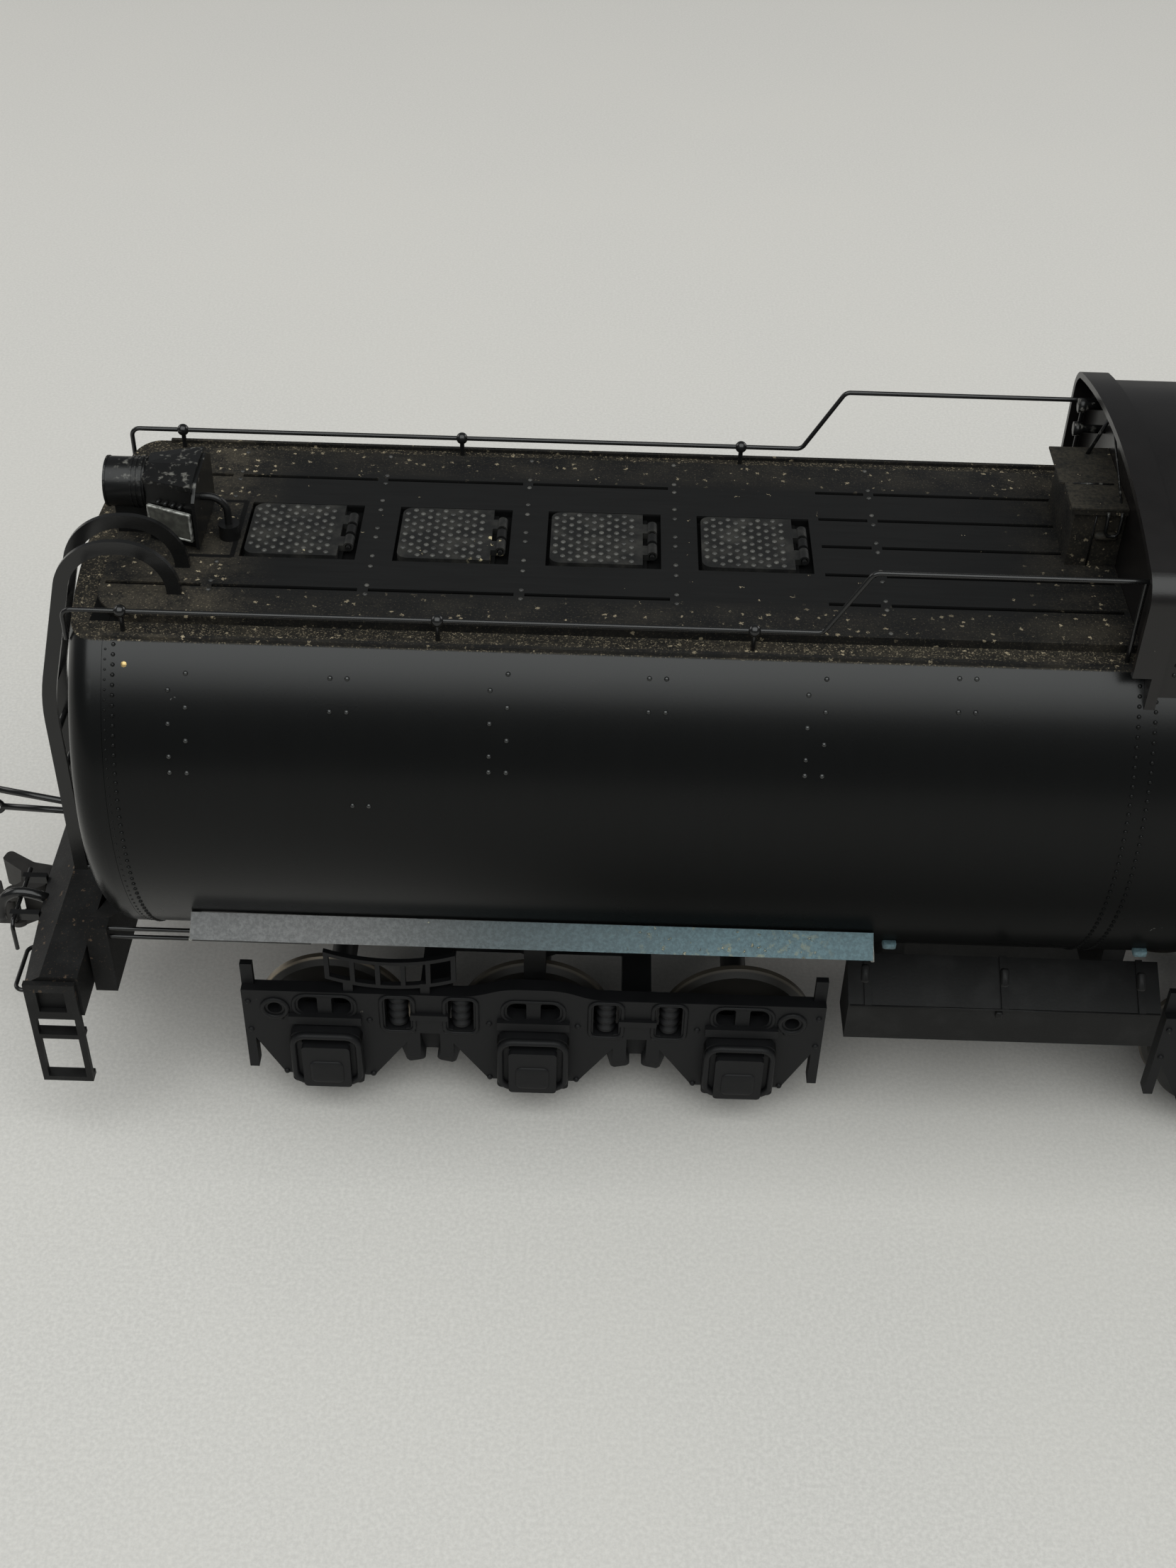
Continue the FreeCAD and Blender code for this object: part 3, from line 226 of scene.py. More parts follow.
def outline(centre, across, upward, width, height, corner, layers):
    """Rings of a rounded rectangle, one for each (inset, lift) layer; sizes and layers are in millimetres.

    Ring points are centre + (+-reach + radius cos a) across + (+-reach + radius sin a) upward + lift normal.
    """
    centre, across, upward = (np.asarray(v, float) for v in (centre, across, upward))
    width, height, corner = mm(width, height, corner)
    normal = np.cross(across, upward)
    turn = np.linspace(0, np.pi / 2, 5)
    quarter = np.concatenate([turn + q * np.pi / 2 for q in range(4)])
    signs = np.repeat([[1, 1], [-1, 1], [-1, -1], [1, -1]], len(turn), axis=0)
    rings = []
    for inset, lift in mm(*layers):
        reach = np.array([width, height]) / 2 - corner - max(0.0, inset - corner)
        flat = signs * reach + max(corner - inset, 1e-6) * np.stack([np.cos(quarter), np.sin(quarter)], -1)
        rings.append(centre + flat[:, :1] * across + flat[:, 1:] * upward + lift * normal)
    return np.concatenate(rings), len(quarter)


def plaque(centre, across, upward, width, height, corner, *layers):
    """Closed plate: the outline's rings from the base upwards, with the first and the last ring filled."""
    points, count = outline(centre, across, upward, width, height, corner, layers)
    last = (len(layers) - 1) * count
    faces = ring_faces(len(layers), count).tolist()
    return points, [*faces, list(range(last, last + count)), list(range(count))[::-1]]


def rim(*shape, breadth, rise):
    """Raised rim round an opening: the outline carried over a low rounded section and closed on itself."""
    arch = [(-breadth, -0.3 * rise), (-breadth, 0.5 * rise), (-0.75 * breadth, rise), (-0.25 * breadth, rise),
            (0, 0.5 * rise), (0, -0.3 * rise)]
    points, count = outline(*shape, arch)
    return points, ring_faces(len(arch), count, True).tolist()


def strip(points, thick, axis):
    """Flat strip: corner points in a plane square to axis 0, 1 or 2, given a thickness in millimetres."""
    points = np.asarray(points, float)
    shift = np.zeros(3)
    shift[axis] = thick * MM
    count = len(points)
    back = list(range(count))
    area = np.cross(points - points[0], np.roll(points, -1, 0) - points[0]).sum(0)[axis]
    if area * thick < 0:
        back = back[::-1]
    faces = [back[::-1], [k + count for k in back]]
    faces += [[a, b, b + count, a + count] for a, b in zip(back, back[1:] + back[:1])]
    return np.concatenate([points, points + shift]), faces


def on_barrel(x, degrees, lift=0.0):
    """Points and normals on the barrel: (x, -r cos t, axis + r sin t), t above the horizontal."""
    x, t = np.broadcast_arrays(x, np.radians(degrees))
    normal = points_at(0.0, -np.cos(t), np.sin(t))
    centre = points_at(x, 0.0, AXIS_Z) + normal * (TANK_R + lift)
    return centre.reshape(-1, 3), normal.reshape(-1, 3)


# ---------- shader helpers
class Value:
    """A socket in Python sums: each operator adds a Math node."""

    def __init__(self, finish, socket):
        self.finish = finish
        self.socket = socket

    def math(self, operation, *terms):
        node = self.finish.node("Math", {"operation": operation}, dict(enumerate(terms)))
        return Value(self.finish, node.outputs[0])

    def __add__(self, other):
        return self.math("ADD", self, other)

    def __sub__(self, other):
        return self.math("SUBTRACT", self, other)

    def __rsub__(self, other):
        return self.math("SUBTRACT", other, self)

    def __mul__(self, other):
        return self.math("MULTIPLY", self, other)

    def __pow__(self, other):
        return self.math("POWER", self, other)

    __radd__ = __add__
    __rmul__ = __mul__

    def step(self, low, high):
        """Smooth step from 0 at low to 1 at high."""
        node = self.finish.node("MapRange", {"interpolation_type": "SMOOTHSTEP"},
                                {"Value": self, "From Min": low, "From Max": high})
        return Value(self.finish, node.outputs["Result"])

    def size(self):
        return self.math("ABSOLUTE", self)


class Finish:
    """A material in the making."""

    def __init__(self, name, slot):
        self.material = bpy.data.materials.new(name)
        self.material["slot"] = slot
        self.material.use_nodes = True
        self.tree = self.material.node_tree
        self.tree.nodes.clear()
        self.place = self.node("TexCoord").outputs["Object"]

    def node(self, kind, settings=None, inputs=None):
        """Add a shader node of a kind, with its settings and the values or links of its sockets."""
        node = self.tree.nodes.new("ShaderNode" + kind)
        for key, value in (settings or {}).items():
            setattr(node, key, value)
        for key, value in (inputs or {}).items():
            value = value.socket if isinstance(value, Value) else value
            if isinstance(value, bpy.types.NodeSocket):
                self.tree.links.new(value, node.inputs[key])
            else:
                node.inputs[key].default_value = value
        return node

    def axis(self, name):
        """One coordinate of the place on the object."""
        return Value(self, self.node("SeparateXYZ", None, {0: self.place}).outputs[name])

    def ramp(self, low, high):
        """Smooth step from 0 at one station to 1 at another."""
        return self.axis("X").step(station(low), station(high))

    def rise(self, level, low, high):
        """Smooth step from low to high millimetres above a level."""
        return self.axis("Z").step(level + low * MM, level + high * MM)

    def noise(self, size, detail=3.0, roughness=0.55, stretch=None):
        """Noise with features of about a size in millimetres, from 0 to 1."""
        place = self.place
        if stretch:
            place = self.node("VectorMath", {"operation": "MULTIPLY"},
                              {0: self.place, 1: stretch}).outputs[0]
        settings = {"Vector": place, "Scale": 1 / (size * MM), "Detail": detail, "Roughness": roughness}
        return Value(self, self.node("TexNoise", None, settings).outputs["Fac"])

    def flecks(self, pitch, radius, share):
        """Mask of flecks of a radius near the middle of some cells of a pitch, both in millimetres."""
        pitch, radius = pitch * MM, radius * MM
        wobble = self.node("TexNoise", None, {"Vector": self.place, "Scale": 4 / pitch})
        place = self.node("VectorMath", {"operation": "MULTIPLY_ADD"},
                          {0: wobble.outputs["Color"], 1: (pitch * 0.8,) * 3, 2: self.place}).outputs[0]
        cells = self.node("TexVoronoi", None, {"Vector": place, "Scale": 1 / pitch})
        chosen = self.node("SeparateColor", None, {0: cells.outputs["Color"]})
        near = Value(self, cells.outputs["Distance"]).step(radius / pitch * 1.25, radius / pitch * 0.75)
        return near * Value(self, chosen.outputs[0]).step(1 - share, 1.03 - share)

    def mix(self, factor, first, second):
        """Colour from first to second by a factor."""
        node = self.node("Mix", {"data_type": "RGBA"}, {0: factor})
        for index, colour in ((6, first), (7, second)):
            if isinstance(colour, bpy.types.NodeSocket):
                self.tree.links.new(colour, node.inputs[index])
            else:
                node.inputs[index].default_value = (*tuple(colour)[:3], 1)
        return node.outputs[2]

    def bump(self, height, depth, strength=1.0):
        """Normal from a height of 0 to 1 that stands for a depth in millimetres."""
        settings = {"Strength": strength, "Distance": depth * MM, "Height": height}
        return self.node("Bump", None, settings).outputs["Normal"]

    def over(self, factor, colour):
        """Lay a colour over the finish by a factor."""
        self.colour = self.mix(factor, self.colour, colour)

    def done(self, roughness, normal, metallic=0.0, coat=0.0, coat_roughness=0.3, specular=0.5, dull=None):
        """The finished material; dull is the share of the surface without any shine."""
        shader = self.node("BsdfPrincipled", None, {
            "Base Color": self.colour, "Roughness": roughness, "Metallic": metallic, "Normal": normal,
            "Coat Weight": coat, "Coat Roughness": coat_roughness, "Specular IOR Level": specular})
        if dull is not None:
            matt = self.node("BsdfPrincipled", None, {"Base Color": self.colour, "Roughness": 1.0,
                                                      "Specular IOR Level": 0.0})
            shader = self.node("MixShader", None, {0: dull, 1: shader.outputs[0], 2: matt.outputs[0]})
        self.node("OutputMaterial", None, {"Surface": shader.outputs[0]})
        return self.material


def tone(name, factor=1.0):
    """A colour of the panel, made darker or paler by a factor."""
    return [c * factor for c in getattr(bpy.context.scene.tender_paint, name)]


# ---------- finishes
# near black laid as painted shade in the slots and plate gaps of the deck
GAP_SHADE_BLACK = [0.0006] * 3
EDGE = 0.1 * MM
LINE_EDGE = (0.2 * MM, 0.14 * MM)

# name: slot, size of the cloud, two tones, roughness and its change, then what differs from the usual
RUBBED = {
    # rivet heads: tones paler than the tank's lacquer as a painted highlight, with a higher shine
    "rivet_satin": ("black_satin", 1.1, (0.005, 0.0055, 0.0055), (0.02, 0.021, 0.02), 0.2, 0.12,
                    {"edges": (0.35, 0.75), "strength": 0.3, "specular": 0.65}),
    "tread_rubbed": ("deck_black", 0.9, (0.025, 0.025, 0.024), (0.09, 0.088, 0.08), 0.34, 0.2, {"worn": 0.4}),
    "bolt_rubbed": ("frame_black", 0.5, (0.011, 0.011, 0.0105), (0.07, 0.067, 0.06), 0.35, 0.2,
                    {"edges": (0.35, 0.7)}),
    "coupler_metal": ("truck_black", 0.8, (0.012, 0.0115, 0.011), (0.035, 0.032, 0.029), 0.4, 0.2,
                      {"edges": None, "detail": 4, "depth": 0.03, "strength": 0.5, "metallic": 0.3}),
    "bare_plate": ("lamp_black", 0.5, (0.035, 0.035, 0.031), (0.075, 0.075, 0.064), 0.34, 0.15, {}),
    "rubbed_rim": ("lamp_black", 0.4, (0.12, 0.12, 0.11), (0.5, 0.5, 0.47), 0.3, 0.15, {"metallic": 0.5}),
    "lamp_lens": ("lamp_black", 0.3, (0.5, 0.5, 0.48), (0.7, 0.7, 0.66), 0.12, 0.08,
                  {"edges": None, "detail": 2, "strength": 0.3, "coat": 0.8, "coat_roughness": 0.05}),
    "bare_brass": ("black_satin", 0.2, ("brass", 1.0), ("brass", 0.7), 0.3, 0.2,
                   {"edges": None, "metallic": 0.9}),
}


def rubbed(name, slot, size, first, second, rough, change, edges=(0.3, 0.7), detail=3, depth=0.01,
           strength=0.4, worn=0.0, **shine):
    """Finish whose cloud leads from the first tone to the second, between its edges, and roughens it."""
    f = Finish(name, slot)
    cloud = f.noise(size, detail)
    if worn:
        shine["metallic"] = cloud * worn
    tones = [tone(*t) if isinstance(t[0], str) else t for t in (first, second)]
    f.colour = f.mix(cloud.step(*edges) if edges else cloud, *tones)
    return f.done(rough + cloud * change, f.bump(cloud, depth, strength), **shine)


def tank_lacquer():
    """Satin black: painted shade (near black) on the barrel under the deck, dust on the open ledges, pale
    flecks, dull low down in front.
    """
    f = Finish("tank_lacquer", "black_satin")
    cloud = f.noise(6, 4)
    peel = f.noise(0.12, 2)
    grit = f.noise(0.35, 5, 0.7)
    streak = f.noise(1.4, 3, stretch=(1.0, 0.25, 0.25))
    # mask of the barrel under the deck, where near black is laid as painted shade
    under_deck_shade = f.rise(LEDGE_Z, -3.4, -3.2) * f.axis("Y").size().step(DECK_HALF, DECK_HALF - EDGE)
    under_deck_shade = under_deck_shade * f.axis("X").step(DECK_LOW[0] - EDGE, DECK_LOW[0])
    under_deck_shade = under_deck_shade * f.axis("X").step(DECK_HIGH[0] + EDGE, DECK_HIGH[0])
    ledge = f.rise(LEDGE_Z, -0.12, -0.02) * (1 - under_deck_shade)
    dusty = ledge * (grit * 0.75 + cloud * 0.6).step(0.45, 0.95)
    specks = f.noise(0.13, 2, 0.6).step(0.56, 0.64) * ledge
    fleck = f.flecks(3.1, 0.07, 0.16)
    f.colour = f.mix(streak * 0.5, tone("lacquer"), tone("lacquer", 1.5))
    f.over(ledge, tone("flat", 1.6))
    f.over(dusty * 0.1 + specks * 0.4, tone("dust"))
    f.over(f.flecks(0.55, 0.1, 0.4) * ledge, tone("dust"))
    f.over(fleck * 0.6, [0.2, 0.2, 0.19])
    # painted shade: near black on the barrel under the deck
    f.over(under_deck_shade, [0.0008] * 3)
    rough = 0.24 + cloud * 0.08 + (ledge + under_deck_shade) * 0.45 + fleck * 0.2
    upper = f.rise(LEDGE_Z, -4.2, -0.1)
    rearward = f.ramp(-34, -54) * f.rise(AXIS_Z, 6, -6)
    gloss = (0.06 + upper * upper * 0.42 + rearward * 0.12) * (1 - ledge) * (1 - under_deck_shade)
    dull = f.ramp(-45, -25) * f.rise(AXIS_Z, 4, -4) * 0.75
    return f.done(rough, f.bump(peel * 0.6 + ledge * grit * 3, 0.012, 0.5), coat=gloss,
                  coat_roughness=0.24, specular=0.12, dull=dull)


def bunker_black():
    """Smooth brownish black of the bulkhead and the fuel bunker."""
    f = Finish("bunker_satin", "black_satin")
    cloud = f.noise(4, 4)
    f.colour = f.mix(cloud, [0.005, 0.0045, 0.0045], [0.01, 0.0088, 0.0085])
    f.over(f.flecks(1.5, 0.07, 0.2), [0.16, 0.145, 0.12])
    return f.done(0.24 + cloud * 0.14, f.bump(f.noise(0.12, 2), 0.01, 0.5), specular=0.36)


def deck_black():
    """Flat black planks with grain along X, dust at the rear and along the edges, tan flecks, and near black
    laid as painted shade on sunken faces and in lines where the hatch plates meet.
    """
    f = Finish("deck_flat_black", "deck_black")
    grain = f.noise(0.35, 4, stretch=(0.08, 1, 1))
    cloud = f.noise(2.6, 4)
    grit = f.noise(0.25, 4, 0.7)
    aside = f.axis("Y").size()
    rear, front, edge = f.ramp(-51, -57), f.ramp(-4, 3), aside.step(6.5 * MM, 8.5 * MM)
    gathered = (rear + front * 0.6 + edge * 0.3) * (cloud * 1.2 + grit * 0.7).step(0.7, 1.25)
    region = rear * 0.9 + front * 0.6 + edge * 0.6
    specks = f.noise(0.15, 2, 0.6).step(0.58, 0.68) * region
    # painted shade: black lines where the plates by the rear hatch meet, and black on faces sunk below the
    # deck's top
    line_y, line_x = 3.35 * MM, station(-54.6)
    along = (aside - line_y).size().step(*LINE_EDGE) * f.ramp(-54.5, -54.7)
    cross = (f.axis("X") - line_x).size().step(*LINE_EDGE) * aside.step(3.5 * MM, line_y)
    joint = (along + cross) * f.ramp(-58.2, -58.0) * f.rise(DECK_Z, 0.2, 0.1)
    sunken_shade = f.rise(DECK_Z, -0.08, -0.2) * aside.step(DECK_HALF - EDGE, DECK_HALF - 0.3 * MM)
    f.colour = f.mix(grain * 0.6, tone("flat"), tone("flat", 2.0))
    f.over(gathered * 0.1 + specks * 0.16, tone("dust"))
    flecks = f.flecks(0.62, 0.12, 0.4) * region + f.flecks(1.1, 0.08, 0.2) * 0.7
    f.over(flecks, tone("dust", 1.15))
    # painted shade on the sunken faces and along the plate gap lines
    f.over(sunken_shade * 0.9 + joint, GAP_SHADE_BLACK)
    rough = 0.5 + grain * 0.12 + gathered * 0.25
    return f.done(rough, f.bump(grain * 0.5 + grit * 0.3, 0.02, 0.5), specular=0.2)


def tread_black():
    """Dark tread plate of the lids with dust between the dots and a scatter of yellow crumbs."""
    f = Finish("tread_plate", "deck_black")
    grit = f.noise(0.2, 3)
    spill = f.ramp(-39.5, -37.5) * f.ramp(-36, -37.4)
    crumbs = f.flecks(0.7, 0.16, 0.5) * spill * f.axis("Y").step(0.5 * MM, -0.5 * MM)
    f.colour = f.mix(f.noise(1.6, 4).step(0.4, 0.75), [0.009, 0.009, 0.0088], [0.03, 0.029, 0.026])
    f.over(f.flecks(1.6, 0.13, 0.14) + crumbs, [0.5, 0.43, 0.27])
    return f.done(0.42 + grit * 0.2, f.bump(grit, 0.01, 0.5), specular=0.3)


def cover_dusty():
    """Dusty cover of the deck box."""
    f = Finish("cover_dusty", "deck_black")
    grit = f.noise(0.3, 5, 0.7)
    dusty = (grit + f.noise(1.5, 3) * 0.5).step(0.5, 1.0)
    f.colour = f.mix(dusty * 0.1, [0.01, 0.01, 0.0095], tone("dust"))
    f.over(f.flecks(0.8, 0.1, 0.2), tone("dust"))
    return f.done(0.6 + grit * 0.2, f.bump(grit, 0.04, 0.6), specular=0.2)


def frame_black():
    """Flat black of the frame, sills and steps, rubbed paler here and there; brown grit on the rear sill."""
    f = Finish("frame_flat_black", "frame_black")
    cloud = f.noise(2.6, 4)
    grit = f.noise(0.18, 4)
    brown = f.flecks(0.6, 0.13, 0.35) + f.noise(0.16, 2, 0.6).step(0.62, 0.7) * 0.4
    brown = brown * f.rise(0, 13.5, 16) * f.ramp(-60, -62)
    f.colour = f.mix(cloud.step(0.45, 0.8) * 0.6, tone("flat"), [0.018] * 3)
    f.over(brown * 0.8, [0.1, 0.068, 0.045])
    return f.done(0.44 + grit * 0.2, f.bump(grit + cloud, 0.015, 0.5), specular=0.22)


def wire_black():
    """Smooth black wire and strip, a little glossier where hands touch it."""
    f = Finish("wire_black", "frame_black")
    cloud = f.noise(1.8, 3)
    f.colour = f.mix(cloud, tone("flat"), tone("flat", 2.0))
    return f.done(0.16 + cloud * 0.1, f.bump(f.noise(0.15, 2), 0.006, 0.4), specular=0.45)


def board_grey():
    """Pebbled grey of the running boards with a painted sheen, paler neutral grey towards the rear and paler
    blue-green towards the front, and a spill of yellow crumbs.
    """
    f = Finish("board_pebbled", "board_grey")
    pebble = f.noise(0.24, 3, 0.7)
    f.colour = f.mix(pebble.step(0.35, 0.7), tone("board", 0.8), tone("board", 1.25))
    base = tone("board")
    # painted sheen: the grey is tinted paler and neutral towards the rear, paler blue-green towards the front
    sheen_tint = f.mix(f.ramp(-34, -50) * 0.9, [1, 1, 1], [base[1] * 2.0 / c for c in base])
    sheen_tint = f.mix(f.ramp(-42, -18), sheen_tint, [1.4, 1.9, 2.05])
    f.colour = f.node("VectorMath", {"operation": "MULTIPLY"}, {0: f.colour, 1: sheen_tint}).outputs[0]
    spill = f.ramp(-30, -22) * f.ramp(-12, -17)
    crumbs = f.flecks(0.5, 0.1, 0.45) * spill
    stain = (f.noise(0.5, 3) + f.noise(5, 3) * 0.4).step(0.78, 0.9)
    f.over(stain * spill * 0.4, [0.3, 0.29, 0.17])
    f.over(f.flecks(4, 0.12, 0.2) + crumbs, [0.32, 0.31, 0.22])
    rough = 0.46 + pebble * 0.18 - crumbs * 0.3
    return f.done(rough, f.bump(pebble + crumbs * 2, 0.08, 0.9), specular=0.35)


def casting_black(name="truck_casting", slot_shade=None):
    """Satin castings with a trace of dust; a slot between two heights behind a face is laid with near black
    as painted shade.
    """
    f = Finish(name, "truck_black")
    cloud = f.noise(2, 4)
    grit = f.noise(0.14, 4)
    f.colour = f.mix(cloud * 0.8, tone("casting"), tone("casting", 1.9))
    f.over(f.flecks(1.5, 0.08, 0.12), [0.07, 0.065, 0.055])
    if slot_shade:
        low, high, face = slot_shade
        # painted shade: near black in the slot between the lid top and the hood, behind the hood's face
        slot_shade_mask = f.rise(low, 0, 0.06) * f.rise(high, 0.06, 0)
        slot_shade_mask = slot_shade_mask * f.axis("Y").size().step(face + 0.06 * MM, face + 0.02 * MM)
        f.over(slot_shade_mask, [0.0004] * 3)
    return f.done(0.46 + cloud * 0.14, f.bump(grit * 0.7 + cloud, 0.02, 0.5), specular=0.22)


def wheel_metal(name, x, z, radius, worn):
    """Turned wheel: black faces, a tread kept nearly black as painted shade, and a bright flange tip where
    the distance from the axle at (x, z) nears the radius, worn steel whose given share also paints glint and
    shade.
    """
    f = Finish(name, "wheel_steel")
    dx = f.axis("X") - x
    dz = f.axis("Z") - z
    r = (dx * dx + dz * dz) ** 0.5
    tip = r.step(radius - 0.22 * MM, radius - 0.1 * MM) * worn
    # painted shade: the tread goes only 0.03 of the way to steel
    tread = r.step(radius - 0.95 * MM, radius - 0.8 * MM) * 0.03 + tip
    turned = f.noise(0.12, 3)
    f.colour = f.mix(tread * (0.65 + f.noise(1.2, 3) * 0.5), tone("flat"), tone("steel"))
    rough = 0.45 - tread * 0.2 + turned * 0.08
    return f.done(rough, f.bump(turned, 0.008, 0.4), metallic=tip)


def lamp_black():
    """Satin black of the lamp and its housing, rubbed along the top."""
    f = Finish("lamp_satin", "lamp_black")
    cloud = f.noise(1.3, 3)
    f.colour = f.mix(cloud * 0.5, tone("flat"), tone("flat", 2.0))
    top = f.noise(0.45, 3).step(0.55, 0.72) * f.rise(0, 48.9, 49.5)
    f.over(f.flecks(0.8, 0.07, 0.16) * 0.7 + top * 0.8, [0.16, 0.155, 0.14])
    return f.done(0.24 + cloud * 0.12, f.bump(f.noise(0.1, 2), 0.008, 0.4), specular=0.3)


def floor_paper():
    """Pale grey paper with a fine felted surface and sparse fibres, painted paler towards the back as painted
    light.
    """
    f = Finish("floor_paper", "board_grey")
    felt = f.noise(0.3, 4, 0.65)
    fibre = f.noise(0.7, 4, 0.7, stretch=(1, 0.6, 1))
    light = tone("paper")
    f.colour = f.mix(felt.step(0.3, 0.72), tone("paper", 0.9), tone("paper", 1.06))
    f.over(fibre.step(0.5, 0.72) * 0.3, tone("paper", 0.9))
    f.over(f.noise(40, 3).step(0.35, 0.7) * 0.3, [light[0] * 1.03, light[1] * 1.02, light[2]])
    # painted light: the paper is made paler towards the back
    f.over(f.axis("Y").step(30 * MM, 170 * MM) * 0.3, [0.74, 0.71, 0.67])
    return f.done(0.85, f.bump(felt + fibre, 0.06, 0.3), specular=0.3)


FINISHES = {}


def finish(maker, *words):
    """A finish by its maker, or by its name in the table, made once."""
    key = (maker, *words)
    if key not in FINISHES:
        if maker in RUBBED:
            *usual, other = RUBBED[maker]
            FINISHES[key] = rubbed(maker, *usual, **other)
        else:
            FINISHES[key] = maker(*words)
    return FINISHES[key]


NODE_FINISH = {
    tank_lacquer: ("tank_barrel", "rear_head", "front_head"),
    bunker_black: ("bulkhead", "oil_bunker", "bunker_hatch"),
    deck_black: ("deck_planks", "deck_ledges", "hatch_coamings", "deck_box"),
    tread_black: ("hatch_lid_1", "hatch_lid_2", "hatch_lid_3", "hatch_lid_4"),
    wire_black: ("handrails", "ladder", "air_pipes", "grab_irons"),
    frame_black: ("underframe", "rear_sill", "front_sill", "corner_steps", "side_boxes", "coupler_pocket",
                  "drawbar_pin"),
    board_grey: ("running_boards",),
    lamp_black: ("headlamp", "number_housing", "lamp_conduit"),
    "coupler_metal": ("coupler_head", "knuckle"),
    casting_black: tuple("%s_truck_%s" % (end, part) for end in ("rear", "front")
                         for part in ("sides", "transom", "springs")),
}


# ---------- places of the new pieces: millimetres, degrees on the flanks and seams, flange tips as a share of worn steel with painted glint and shade
FLANK_EIGHTS = ((-56.1, 39.1, 17.7), (-35.8, 41.0, 20.0), (-15.75, 42.0, 21.4), (24.7, 36.0, 15.0),
                (45.0, 36.0, 15.0))
FLANK_FOURS = ((-47.0, 39.0), (-26.9, 41.0), (-7.4, 43.0), (14.0, 36.0), (34.4, 36.0), (53.5, 36.0))
PAIR_GAP = 1.1
SEAM_TOP, SEAM_END, SEAM_STEP = 44.7, -89, 2.13
DECK_JOINTS = (-55.5, -45.35, -35.3, -25.2, -11.6)
BOLT_ROWS = (0.55, 2.8, 4.0, 6.2, 7.2, 9.75)
LID_THICK, LID_LENGTH, LID_MARGIN = 0.45, 6.2, 0.35
LAMP_BANDS = ((0.02, 0.14, 0.05), (1.75, 0.12, 0.05), (2.05, 0.12, 0.07), (2.35, 0.2, 0.1))
BOARD_FOOT, BOARD_HEAD, BOARD_Z, BOARD_TALL = (-60.2, 1.62), (-57.1, 2.82), 46.6, 2.15
SHIELD_HALF, SHIELD_SHOULDER = 3.1, 48.7
BUNKER_RIVET_STEP, BULKHEAD_RIVET_STEP, BULKHEAD_CROWN = 0.75, 0.9, 42.0
HASP_BEND = ((0, -0.1, -0.1), (0, -0.3, -0.4), (0, -0.3, -1.5), (0.2, -0.3, -1.8), (0.7, -0.3, -1.8),
             (0.9, -0.3, -1.5), (0.9, -0.3, -0.4), (0.9, -0.1, -0.1))
HASPS, HASP_Y, HASP_Z = (-10.7, -0.9, 8.7), 14.9, 19.2
LUG_STATIONS, LUG_Y, LUG_Z = (-9.2, 8.3), 13.9, 21.4
BOARD_ENDS = (-10.7, 10.7)
AXLE_PITCH, SIDE_HALF, FRAME_FACE = 15.5, 21.6, 12.0
HOOD_TOP, LID_TOP, LID_PROUD = 9.0, 7.75, 0.5
HOSE = ((-71.0, 14.9), (-73.6, 16.4), (-75.0, 14.8), (-74.8, 12.6))
# flange tip share over worn steel: high on one wheelset as a painted glint, low on the others as painted
# shade
FLANGE_WEAR_AND_GLINT, FLANGE_WEAR_IN_SHADE = 0.8, 0.15


# ---------- operators
class TENDER_OT_paint(bpy.types.Operator):
    """Paint every solid of the frame."""
    bl_idname = "tender.paint"
    bl_label = "Paint the model"

    def execute(self, context):
        for maker, names in NODE_FINISH.items():
            for name in names:
                self.dress(name, maker)
        for end in ("rear", "front"):
            boxes = end + "_truck_boxes"
            # heights and face of the painted shade in the slot over the box lids
            slot_shade = (LID_TOP * MM, (HOOD_TOP - 0.55) * MM, float(corners(boxes)[1][1]) - LID_PROUD * MM)
            self.dress(boxes, casting_black, "box_casting", slot_shade)
            for number in (1, 2, 3):
                name = "%s_wheelset_%d" % (end, number)
                low, high = corners(name)
                x, _, z = ((low + high) / 2).tolist()
                # rear wheelset 1 gets a painted glint on its flange tip, the others painted shade
                flange_wear_and_light = FLANGE_WEAR_AND_GLINT if name == "rear_wheelset_1" else FLANGE_WEAR_IN_SHADE
                self.dress(name, wheel_metal, name + "_metal", x, z, float(high[2] - low[2]) / 2, flange_wear_and_light)
        return {"FINISHED"}

    @staticmethod
    def dress(name, maker, *words):
        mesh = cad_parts[name].data
        mesh.materials.clear()
        mesh.materials.append(finish(maker, *words))


